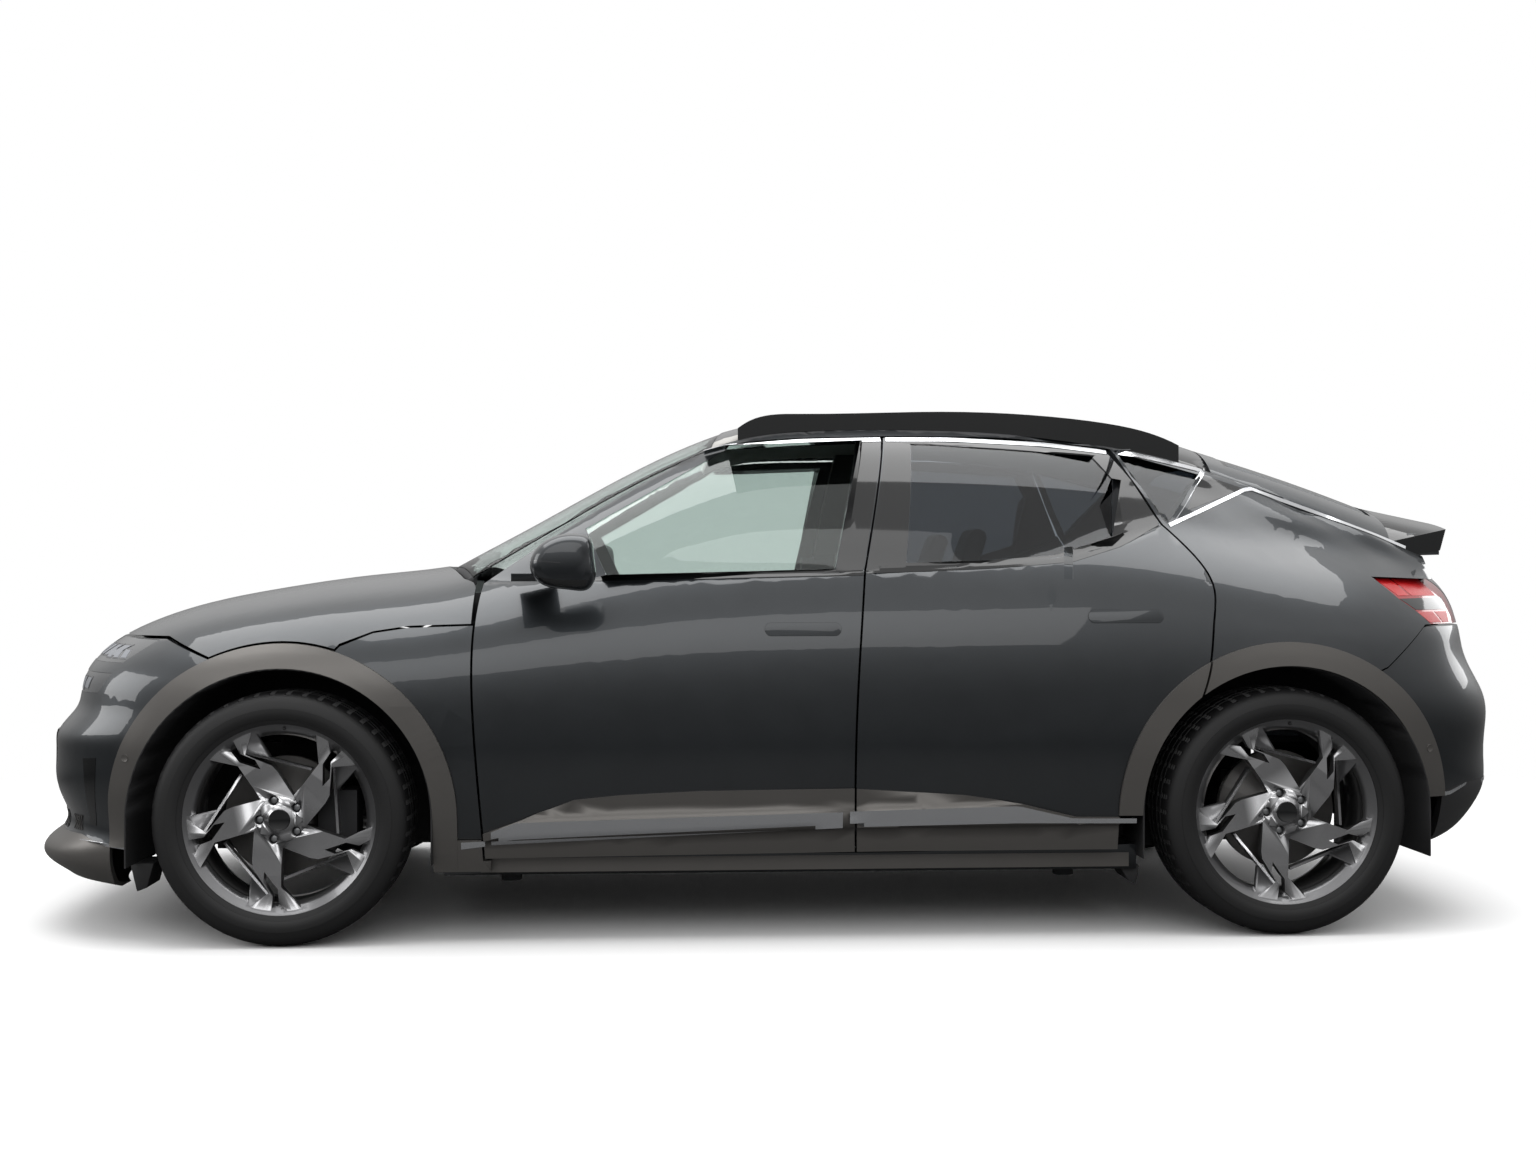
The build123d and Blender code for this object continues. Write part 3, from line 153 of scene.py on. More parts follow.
@dataclass(frozen=True)
class Finish:
    """A surface finish, with plain values on the shader and a grain from procedural nodes.

    Args:
        name: The material's name.
        slot: The record's material slot that it stands for; not used.
        colour: Base colour, linear.
        size: The grain's size in metres.
        height: The grain's depth in metres.
        variation: Share by which the colour changes over the surface.
    """

    name: str
    slot: str
    colour: tuple[float, float, float]
    metallic: float = 0.0
    roughness: float = 0.5
    coat: float = 0.0
    coat_roughness: float = 0.03
    transmission: float = 0.0
    ior: float = 1.5
    sheen: float = 0.0
    glow: float = 0.0
    grain: Grain = Grain.PLAIN
    size: float = 0.002
    height: float = 0.0001
    variation: float = 0.08
    roughness_variation: float = 0.05

    def material(self) -> bpy.types.Material:
        """Gives the finish's material, made at its first use."""
        made = bpy.data.materials.get(self.name)
        if made:
            return made
        material = bpy.data.materials.new(self.name)
        nodes = Nodes(material)
        nodes.set(nodes.shader, {
            "Metallic": self.metallic, "Coat Weight": self.coat, "Coat Roughness": self.coat_roughness,
            "Transmission Weight": self.transmission, "IOR": self.ior, "Sheen Weight": self.sheen,
        })
        if self.glow:
            nodes.set(nodes.shader, {"Emission Color": (*self.colour, 1), "Emission Strength": self.glow})
        if self.sheen:
            nodes.set(nodes.shader, {"Sheen Roughness": 0.4})
        self.add_grain(nodes)
        return material

    def add_grain(self, nodes: Nodes) -> None:
        """Adds the colour, roughness and relief that vary over the surface.

        Args:
            nodes: The material's nodes.
        """
        place = nodes.add("TexCoord", output="Object")
        pattern = self.pattern(nodes, place)
        broad = nodes.add("TexNoise", {"Scale": 9.0, "Detail": 4.0, "Vector": place}, "Fac")
        half = nodes.add("Math", {0: pattern, 1: 0.5}, mode=("operation", "MULTIPLY"))
        blend = nodes.add("Math", {0: broad, 1: 0.5, 2: half}, mode=("operation", "MULTIPLY_ADD"))
        darker = [value * (1 - self.variation) for value in self.colour]
        lighter = [min(1.0, value * (1 + self.variation)) for value in self.colour]
        tint = nodes.add("Mix", {"A": (*darker, 1), "B": (*lighter, 1), "Factor": blend}, "Result",
                         ("data_type", "RGBA"))
        low = max(0.0, self.roughness - self.roughness_variation)
        high = min(1.0, self.roughness + self.roughness_variation)
        rough = nodes.add("MapRange", {"To Min": low, "To Max": high, "Value": blend}, "Result")
        nodes.set(nodes.shader, {"Base Color": tint, "Roughness": rough})
        if self.grain is not Grain.PLAIN:
            relief = {"Distance": self.height, "Strength": 0.6, "Height": pattern}
            nodes.set(nodes.shader, {"Normal": nodes.add("Bump", relief, "Normal")})

    def pattern(self, nodes: Nodes, place: bpy.types.NodeSocket) -> bpy.types.NodeSocket:
        """Adds the texture that belongs to the grain.

        Args:
            nodes: The material's nodes.
            place: Object coordinates.

        Returns:
            The texture's output, from 0 to 1.
        """
        inputs = {"Scale": 1 / self.size, "Vector": place}
        if self.grain in (Grain.FLAKE, Grain.PEBBLE):
            return nodes.add("TexVoronoi", inputs, "Distance")
        if self.grain is Grain.CAST:
            return nodes.add("TexNoise", inputs, "Fac")
        if self.grain is Grain.RIBBED:
            return self.wave(nodes, place, "X")
        if self.grain is Grain.BRUSHED:
            return self.wave(nodes, place, "Z")
        if self.grain is Grain.WEAVE:
            threads = {0: self.wave(nodes, place, "X"), 1: self.wave(nodes, place, "Z")}
            return nodes.add("Math", threads, mode=("operation", "MAXIMUM"))
        return nodes.add("TexNoise", inputs | {"Detail": 6.0}, "Fac")

    def wave(self, nodes: Nodes, place: bpy.types.NodeSocket, way: str) -> bpy.types.NodeSocket:
        """Adds bands across one axis.

        Args:
            nodes: The material's nodes.
            place: Object coordinates.
            way: The axis, such as "X".

        Returns:
            The bands' output, from 0 to 1.
        """
        distortion = 0.6 if self.grain is Grain.BRUSHED else 0.1
        inputs = {"Scale": 0.31 / self.size, "Distortion": distortion, "Vector": place}
        return nodes.add("TexWave", inputs, "Fac", ("bands_direction", way))


PAINT = Finish("charcoal metallic paint", "body_paint", (0.03, 0.034, 0.038), metallic=0.7, roughness=0.34,
               coat=1.0, coat_roughness=0.02, grain=Grain.FLAKE, size=0.0011, height=0.00001,
               variation=0.22)
SATIN = Finish("satin taupe moulding", "satin_trim", (0.15, 0.143, 0.135), metallic=0.6, roughness=0.38,
               grain=Grain.CAST, size=0.0016, height=0.00003)
SILVER = Finish("satin silver strip", "satin_trim", (0.62, 0.63, 0.65), metallic=0.9, roughness=0.24,
                grain=Grain.CAST, size=0.0008, height=0.00001, variation=0.04)
BRIGHT = Finish("bright window strip", "satin_trim", (0.78, 0.79, 0.81), metallic=0.95, roughness=0.2,
                grain=Grain.CAST, size=0.0008, height=0.00001, variation=0.03)
GLOSS_BLACK = Finish("gloss black panel", "gloss_black", (0.006, 0.0065, 0.007), roughness=0.08, coat=0.6,
                     variation=0.2, roughness_variation=0.02)
BLACK = Finish("grained black plastic", "black_plastic", (0.022, 0.022, 0.023), roughness=0.62,
               grain=Grain.PEBBLE, size=0.0016, height=0.00018, variation=0.2)
RUBBER_SEAL = Finish("rubber seal", "black_plastic", (0.012, 0.012, 0.012), roughness=0.7,
                     grain=Grain.RUBBER, size=0.0012, height=0.00004)
CLEAR_GLASS = Finish("clear tinted glass", "clear_glass", (0.62, 0.70, 0.67), roughness=0.0,
                     transmission=1.0, variation=0.01, roughness_variation=0.0)
PRIVACY_GLASS = Finish("dark privacy glass", "privacy_glass", (0.13, 0.15, 0.17), roughness=0.0,
                       transmission=1.0, variation=0.03, roughness_variation=0.0)
LAMP_LENS = Finish("smoked lamp lens", "lamp_lens", (0.035, 0.037, 0.04), roughness=0.06, coat=1.0,
                   variation=0.1, roughness_variation=0.02)
TAIL_LENS = Finish("red lamp lens", "tail_lens", (0.3, 0.004, 0.006), roughness=0.08, coat=1.0,
                   grain=Grain.RIBBED, size=0.006, height=0.00008, variation=0.15,
                   roughness_variation=0.02)
LAMP_CHROME = Finish("lamp reflector", "lamp_lens", (0.3, 0.3, 0.31), metallic=1.0, roughness=0.25,
                     grain=Grain.RIBBED, size=0.004, height=0.0003)
LED_WHITE = Finish("light guide", "lamp_lens", (0.24, 0.25, 0.27), roughness=0.3, grain=Grain.RIBBED,
                   size=0.003, height=0.0003)
LED_RED = Finish("red light guide", "tail_lens", (0.42, 0.006, 0.008), roughness=0.3, glow=0.06,
                 grain=Grain.RIBBED, size=0.003, height=0.0003)
WHEEL_DARK = Finish("gunmetal wheel paint", "wheel_metal", (0.2, 0.2, 0.205), metallic=0.85, roughness=0.3,
                    coat=0.6, coat_roughness=0.05, grain=Grain.FLAKE, size=0.0008, height=0.00001,
                    variation=0.15)
WHEEL_CUT = Finish("machined wheel face", "wheel_metal", (0.5, 0.5, 0.51), metallic=1.0, roughness=0.24,
                   coat=0.5, coat_roughness=0.05, grain=Grain.BRUSHED, size=0.0006, height=0.00001,
                   variation=0.06)
NUT_METAL = Finish("wheel nut steel", "wheel_metal", (0.42, 0.43, 0.44), metallic=1.0, roughness=0.28,
                   grain=Grain.CAST, size=0.0006, height=0.00002)
TYRE = Finish("tyre rubber", "tyre", (0.009, 0.009, 0.0095), roughness=0.56, grain=Grain.RUBBER,
              size=0.0016, height=0.00012, variation=0.25)
IRON = Finish("turned brake iron", "brake_iron", (0.36, 0.35, 0.34), metallic=0.9, roughness=0.35,
              grain=Grain.CAST, size=0.0009, height=0.00003, variation=0.15)
CHASSIS = Finish("coated chassis steel", "chassis_metal", (0.03, 0.03, 0.032), metallic=0.3,
                 roughness=0.55, grain=Grain.CAST, size=0.003, height=0.0001, variation=0.2)
BATTERY = Finish("battery case sheet", "battery_case", (0.42, 0.43, 0.44), metallic=0.85, roughness=0.4,
                 grain=Grain.RIBBED, size=0.06, height=0.003, variation=0.08)
DASH = Finish("soft dashboard skin", "dash_plastic", (0.035, 0.036, 0.038), roughness=0.6,
              grain=Grain.PEBBLE, size=0.0018, height=0.0002, variation=0.15)
CLOTH = Finish("woven seat cloth", "seat_cloth", (0.13, 0.13, 0.135), roughness=0.9, sheen=0.35,
               grain=Grain.WEAVE, size=0.0022, height=0.0004, variation=0.25)
HEADLINER = Finish("pale headliner", "seat_cloth", (0.42, 0.41, 0.39), roughness=0.95, sheen=0.2,
                   grain=Grain.WEAVE, size=0.002, height=0.0002)
CARPET = Finish("floor carpet", "dash_plastic", (0.03, 0.03, 0.031), roughness=0.97, sheen=0.3,
                grain=Grain.RUBBER, size=0.002, height=0.001, variation=0.4)
GRILLE_METAL = Finish("dark grille metal", "gloss_black", (0.09, 0.085, 0.08), metallic=0.9,
                      roughness=0.25, coat=0.4, grain=Grain.CAST, size=0.001, height=0.00002)
MIRROR_GLASS = Finish("mirror glass", "clear_glass", (0.75, 0.77, 0.78), metallic=1.0, roughness=0.02,
                      variation=0.02, roughness_variation=0.01)
SCREEN = Finish("display glass", "gloss_black", (0.01, 0.011, 0.013), roughness=0.05, coat=1.0,
                variation=0.1)


def linked(mesh: bpy.types.Mesh, name: str) -> bpy.types.Object:
    """Puts a mesh in the scene as an object at the origin."""
    piece = bpy.data.objects.new(name, mesh)
    bpy.context.scene.collection.objects.link(piece)
    return piece


def finished(
    form: bmesh.types.BMesh, name: str, body: str, finish: Finish, smooth: float = 35.0,
    others: tuple[Finish, ...] = (),
) -> bpy.types.Object:
    """Turns a form into a finished piece that rides on a body.

    Args:
        form: The shape, which is freed.
        name: The piece's name.
        body: The body that it moves with.
        finish: Its first finish.
        smooth: Edges sharper than this, in degrees, stay sharp.
        others: Finishes for the faces of index 1 and up.

    Returns:
        The piece.
    """
    mesh = bpy.data.meshes.new(name)
    form.normal_update()
    form.to_mesh(mesh)
    form.free()
    for each in (finish, *others):
        mesh.materials.append(each.material())
    mesh.shade_smooth()
    mesh.set_sharp_from_angle(angle=math.radians(smooth))
    piece = linked(mesh, name)
    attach(piece, body)
    return piece


def merged(node: str) -> bmesh.types.BMesh:
    """A copy of a CAD node's mesh with its loose triangles joined."""
    form = bmesh.new()
    form.from_mesh(frame["nodes"][node].data)
    bmesh.ops.remove_doubles(form, verts=form.verts, dist=0.00002)
    return form


def body_of(node: str) -> str:
    """The body that a CAD node belongs to."""
    bodies = frame["record"]["behaviour"]["bodies"]
    return next(body for body, members in bodies.items() if node in members)


@dataclass
class DressedNodes:
    """CAD nodes whose shape stays, as joined copies with smooth shading and a finish.

    Args:
        finishes: The finish of each node, by name without its side.
        inner: The finish of a node's faces that look into the cabin.
        smooth: Edges sharper than this, in degrees, stay sharp.
    """

    finishes: dict[str, Finish]
    inner: dict[str, Finish]
    smooth: float = 28.0

    def build(self) -> None:
        """Makes a joined copy of every node, which stands for it."""
        for name in list(frame["nodes"]):
            plain = name.removesuffix("_left").removesuffix("_right")
            if plain not in self.finishes:
                continue
            form = merged(name)
            others = (self.inner[plain],) if plain in self.inner else ()
            for face in form.faces if others else ():
                middle = face.calc_center_median()
                inward = face.normal.z < -0.3 if abs(middle.y) < 0.5 else face.normal.y * middle.y < 0
                reveal = abs(face.normal.y) < 0.45 and middle.z > 1.06 and abs(middle.y) > 0.5
                if inward or reveal:
                    face.material_index = 1
            finish = self.finishes[plain]
            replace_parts(finished(form, "dressed_" + name, body_of(name), finish, self.smooth, others), name)


class Skin:
    """A part of the car's outer surface, on which trim is laid.

    Args:
        nodes: The CAD nodes that make up the surface.
    """

    def __init__(self, nodes: tuple[str, ...]) -> None:
        form = bmesh.new()
        for node in nodes:
            form.from_mesh(frame["nodes"][node].data)
        self.tree = BVHTree.FromBMesh(form)
        form.free()

    def at(self, along: float, z: float, view: View, near: float | None = None) -> tuple[Vector, Vector]:
        """The point and the outward normal of the skin at a place of a view.

        Args:
            along: Place across the view.
            z: Height.
            view: The side that it is seen from.
            near: Stand-in distance from the car's middle where nothing is hit.

        Returns:
            The point and the normal.
        """
        point, normal, _, _ = self.tree.ray_cast(view.place(along, z, 3.0), -view.out)
        if point is None or point.dot(view.out) < 0.3:
            return view.place(along, z, near or 0.8), view.out
        return point, normal if normal.dot(view.out) > 0 else -normal


def between(points: list[tuple[float, float]], share: float) -> Vector:
    """The point at a share of a path's length.

    Args:
        points: The path's corners, in millimetres.
        share: From 0 to 1.

    Returns:
        The point, in metres.
    """
    path = [Vector(point) for point in points]
    lengths = [(b - a).length for a, b in zip(path, path[1:])]
    left = share * sum(lengths)
    for start, end, length in zip(path, path[1:], lengths):
        if left <= length or end is path[-1]:
            return start.lerp(end, min(1.0, left / length)) * MM
        left -= length
    return path[-1] * MM


def laid_sheet(
    skin: Skin, low: list[tuple[float, float]], high: list[tuple[float, float]], view: View, columns: int,
    rows: int, proud: float, thickness: float,
) -> bmesh.types.BMesh:
    """A thin sheet that follows the skin between two lines of a view.

    Args:
        skin: The surface that carries it.
        low: One edge's corners, as places across the view and heights, in millimetres.
        high: The other edge's corners, running the same way.
        view: The side that it is seen from.
        columns: Steps along the edges.
        rows: Steps from edge to edge.
        proud: How far its face stands off the skin, in metres.
        thickness: Its thickness, in metres.

    Returns:
        The closed sheet.
    """
    form = bmesh.new()
    bmesh.ops.create_grid(form, x_segments=columns, y_segments=rows, size=0.5)
    last = None
    for vert in form.verts:
        along, across = vert.co.x + 0.5, vert.co.y + 0.5
        place = between(low, along).lerp(between(high, along), across)
        point, normal = skin.at(place.x, place.y, view, last)
        last = point.dot(view.out)
        vert.co = point + normal * proud
    bmesh.ops.recalc_face_normals(form, faces=form.faces)
    form.faces.ensure_lookup_table()
    if sum(face.normal.dot(view.out) for face in form.faces) < 0:
        bmesh.ops.reverse_faces(form, faces=form.faces)
    bmesh.ops.solidify(form, geom=form.faces, thickness=thickness)
    bmesh.ops.recalc_face_normals(form, faces=form.faces)
    return form


def band(points: list[tuple[float, float]], width: float) -> tuple[list, list]:
    """The two edges of a band of even width along a path, in millimetres."""
    path = [Vector(point) for point in points]
    low, high = [], []
    for index, point in enumerate(path):
        before = (point - path[index - 1]).normalized() if index else None
        after = (path[index + 1] - point).normalized() if index < len(path) - 1 else before
        before = before or after
        way = (before + after).normalized()
        normal = Vector((-way.y, way.x))
        reach = width / 2 / max(0.35, math.sqrt((1 + before.dot(after)) / 2))
        low.append(tuple(point - normal * reach))
        high.append(tuple(point + normal * reach))
    return low, high


def lay(name: str, body: str, finish: Finish, *sheet: object) -> None:
    """Lays one sheet on the skin and finishes it.

    Args:
        name: The piece's name.
        body: The body that it moves with.
        finish: Its finish.
        sheet: What laid_sheet takes.
    """
    finished(laid_sheet(*sheet), name, body, finish)


def bevelled(form: bmesh.types.BMesh, offset: float, segments: int = 2, sharp: float | None = None) -> None:
    """Rounds a form's edges.

    Args:
        form: The form.
        offset: The bevel's width in metres.
        segments: Its steps.
        sharp: The least turn, in radians, of the edges that are rounded, where not all are.
    """
    edges = [edge for edge in form.edges if sharp is None or edge.calc_face_angle(0) > sharp]
    bmesh.ops.bevel(form, geom=edges, offset=offset, segments=segments, affect="EDGES", profile=0.5,
                    material=-1)


def add_box(form: bmesh.types.BMesh, centre: tuple, size: tuple, turn: Matrix = Matrix()) -> None:
    """Adds a box to a form.

    Args:
        form: The form.
        centre: The box's middle in metres.
        size: Its size in metres.
        turn: The move that it takes afterwards.
    """
    place = turn @ Matrix.Translation(centre) @ Matrix.Diagonal((*size, 1))
    bmesh.ops.create_cube(form, size=1.0, matrix=place)


def add_stub(
    form: bmesh.types.BMesh, spot: Vector, turn: Matrix, segments: int, radii: tuple[float, float],
    depth: float,
) -> None:
    """Adds a short cone, such as a nut or a cap.

    Args:
        form: The form.
        spot: Its middle.
        turn: Its turn from upright.
        segments: Sides round it.
        radii: Its two radii in metres.
        depth: Its length in metres.
    """
    bmesh.ops.create_cone(form, cap_ends=True, segments=segments, radius1=radii[0], radius2=radii[1],
                          depth=depth, matrix=Matrix.Translation(spot) @ turn)


def leaned(pivot: tuple[float, float], lean: float) -> Matrix:
    """A turn to the rear about a hinge line at X and Z, by an angle in radians."""
    return (Matrix.Translation((pivot[0], 0, pivot[1])) @ Matrix.Rotation(lean, 4, "Y")
            @ Matrix.Translation((-pivot[0], 0, -pivot[1])))


@dataclass
class WindowLine:
    """The bright strip over the windows with its kink, and the black panels round the glass.

    Args:
        width: The bright strip's width in millimetres.
    """

    width: float = 13.0
    front_strip: tuple = ((-232, 1424), (-170, 1441), (-107, 1447), (62, 1460), (305, 1466))
    rear_strip: tuple = ((321, 1466), (512, 1467), (812, 1455), (1012, 1433))
    quarter_strip: tuple = ((1030, 1434), (1100, 1425), (1320, 1377))
    kink: tuple = ((1318, 1376), (1172, 1204))
    shoulder: tuple = ((1172, 1204), (1466, 1326), (1650, 1262), (1872, 1180), (1970, 1140))

    def build(self) -> None:
        """Lays the strips on the doors and on the body."""
        for side_name, view in VIEWS.items():
            front, rear = f"front_door_{side_name}", f"rear_door_{side_name}"
            skins = {
                front: Skin((front,)), rear: Skin((rear,)),
                "body": Skin(("body_sides", "roof_panel", "tail_lamps")),
            }
            plan = [(front, "front", self.front_strip), (rear, "rear", self.rear_strip),
                    ("body", "quarter", self.quarter_strip), ("body", "kink", self.kink),
                    ("body", "shoulder", self.shoulder)]
            for body, name, path in plan:
                low, high = band(path, self.width if name != "shoulder" else self.width - 2)
                lay(f"bright_{name}_strip_{side_name}", body, BRIGHT, skins[body], low, high, view, 26, 1,
                    0.0022, 0.002)
            self.panels(skins, side_name, view)

    def panels(self, skins: dict[str, Skin], side_name: str, view: View) -> None:
        """Lays the gloss black panels between the windows.

        Args:
            skins: The surface of each body.
            side_name: "left" or "right".
            view: The side that it is seen from.
        """
        front, rear = f"front_door_{side_name}", f"rear_door_{side_name}"
        plan = [
            (front, "pillar_front", [(148, 1066), (224, 1452)], [(228, 1066), (305, 1462)]),
            (rear, "pillar_rear", [(238, 1066), (317, 1462)], [(354, 1076), (394, 1458)]),
            (front, "belt_front", [(-590, 1036), (-200, 1043), (228, 1052)],
             [(-522, 1054), (-200, 1062), (228, 1074)]),
            (rear, "belt_rear", [(238, 1058), (600, 1072), (850, 1092), (1010, 1140), (1140, 1206)],
             [(238, 1086), (600, 1097), (800, 1112), (985, 1170), (1128, 1214)]),
            (rear, "corner_rear", [(985, 1168), (1012, 1346), (956, 1424)],
             [(1140, 1210), (1070, 1346), (1016, 1426)]),
            (rear, "top_rear", [(392, 1453), (700, 1438), (956, 1419)],
             [(320, 1461), (700, 1455), (1012, 1428)]),
            (front, "top_front", [(-160, 1433), (62, 1444), (228, 1451)],
             [(-170, 1436), (62, 1455), (305, 1461)]),
        ]
        for body, name, low, high in plan:
            lay(f"black_{name}_{side_name}", body, GLOSS_BLACK, skins[body], low, high, view, 24, 4, *THIN)
        lay(f"black_quarter_panel_{side_name}", "body", GLOSS_BLACK, skins["body"],
            [(1306, 1366), (1240, 1252)], [(1306, 1366), (1452, 1322)], view, 10, 8, *THIN)


@dataclass
class DoorHandle:
    """A capsule handle that lies flush in the door skin, in its recess.

    Args:
        length: Length in millimetres.
        height: Height in millimetres.
    """

    length: float = 222.0
    height: float = 38.0

    def build(self) -> None:
        """Makes the four handles."""
        places = {"front": (47.0, 898.0), "rear": (989.0, 934.0)}
        for side_name, view in VIEWS.items():
            for end, (x, z) in places.items():
                body = f"{end}_door_{side_name}"
                skin = Skin((body,))
                rim = self.capsule(skin, x, z, view, 1.0, 0.0003, 0.0006)
                finished(rim, f"handle_seam_{end}_{side_name}", body, RUBBER_SEAL)
                grip = self.capsule(skin, x, z, view, 0.955, 0.0016, 0.0018)
                finished(grip, f"handle_{end}_{side_name}", body, PAINT)

    def capsule(
        self, skin: Skin, x: float, z: float, view: View, scale: float, proud: float, thickness: float,
    ) -> bmesh.types.BMesh:
        """A capsule-shaped plate on the door skin.

        Args:
            skin: The door.
            x: Its middle along the car, in millimetres.
            z: Its middle's height, in millimetres.
            view: The side that it is seen from.
            scale: Share of the full height.
            proud: How far its face stands off the skin, in metres.
            thickness: Its thickness, in metres.

        Returns:
            The plate.
        """
        form = bmesh.new()
        radius = self.height / 2 * MM * scale
        bmesh.ops.create_circle(form, cap_ends=True, cap_tris=False, segments=48, radius=radius)
        half = (self.length - self.height) / 2 * MM
        for vert in form.verts:
            shift = half if vert.co.x > 0 else -half
            place = Vector((x * MM + vert.co.x + shift, z * MM + vert.co.y))
            point, normal = skin.at(place.x, place.y, view)
            vert.co = point + normal * proud
        if form.faces[:][0].normal.dot(view.out) < 0:
            bmesh.ops.reverse_faces(form, faces=form.faces)
        bmesh.ops.solidify(form, geom=form.faces, thickness=thickness)
        bmesh.ops.recalc_face_normals(form, faces=form.faces)
        return form


@dataclass
class TyreSet:
    """Detailed tyres: rounded carcass, sidewall rings, grooved tread with sipes.

    Args:
        radius: Outer radius in metres.
        width: Width in metres.
        segments: Steps round the tyre.
        shoulder: Radius from which the sipes are cut, in metres.
        sipe_depth: Their depth in metres.
    """

    radius: float = 0.3619
    width: float = 0.2548
    segments: int = 150
    shoulder: float = 0.352
    sipe_depth: float = 0.0035

    def profile(self) -> list[tuple[float, float]]:
        """The section of half the tyre as (offset from its middle, radius), from bead to middle."""
        edge = self.width / 2
        outer = [(edge - 0.0265, 0.2690), (edge - 0.012, 0.2705), (edge - 0.0085, 0.2790),
                 (edge - 0.0068, 0.2842), (edge - 0.0052, 0.2846), (edge - 0.0015, 0.2925),
                 (edge, 0.3050), (edge - 0.0008, 0.3160), (edge - 0.0022, 0.3163),
                 (edge - 0.0030, 0.3200), (edge - 0.0062, 0.3330), (edge - 0.0115, 0.3440),
                 (edge - 0.0200, 0.3530), (edge - 0.0310, 0.3580), (edge - 0.0440, 0.3600)]
        tread = []
        for middle in (0.060, 0.024):
            tread += [(middle + 0.0045, self.radius - 0.0004), (middle + 0.0036, self.radius - 0.0072),
                      (middle - 0.0036, self.radius - 0.0072), (middle - 0.0045, self.radius - 0.0002)]
        return outer + tread

    def build(self) -> None:
        """Makes four tyres in place of the plain CAD ones."""
        for side_name, side in SIDES.items():
            for end, axle in (("front", FRONT_AXLE), ("rear", REAR_AXLE)):
                half = self.profile()
                section = half + [(-offset, radius) for offset, radius in reversed(half)]
                form = bmesh.new()
                verts = [form.verts.new((0, offset, radius)) for offset, radius in section]
                edges = [form.edges.new(pair) for pair in zip(verts, verts[1:] + verts[:1])]
                bmesh.ops.spin(form, geom=verts + edges, cent=(0, 0, 0), axis=(0, 1, 0), angle=math.tau,
                               steps=self.segments, use_merge=True, use_duplicate=False)
                bmesh.ops.remove_doubles(form, verts=form.verts, dist=0.00001)
                self.cut_sipes(form)
                bmesh.ops.recalc_face_normals(form, faces=form.faces)
                bmesh.ops.translate(form, verts=form.verts, vec=(axle, side * WHEEL_Y, WHEEL_Z))
                name = f"treaded_tyre_{end}_{side_name}"
                piece = finished(form, name, f"{end}_wheel_{side_name}", TYRE, 30.0)
                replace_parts(piece, f"{end}_tyre_{side_name}")

    def cut_sipes(self, form: bmesh.types.BMesh) -> None:
        """Presses a groove into every third step of the shoulders and ribs.

        Args:
            form: The turned tyre.
        """
        blocks = []
        for face in form.faces:
            middle = face.calc_center_median()
            radius = math.hypot(middle.x, middle.z)
            step = round(math.atan2(middle.z, middle.x) / math.tau * self.segments)
            if radius > self.shoulder and step % 3 == 0 and face.normal.length > 0:
                blocks.append(face)
        bmesh.ops.inset_individual(form, faces=blocks, thickness=0.0026, depth=0.0)
        for vert in {vert for face in blocks for vert in face.verts}:
            share = 1 - self.sipe_depth / math.hypot(vert.co.x, vert.co.z)
            vert.co.x *= share
            vert.co.z *= share


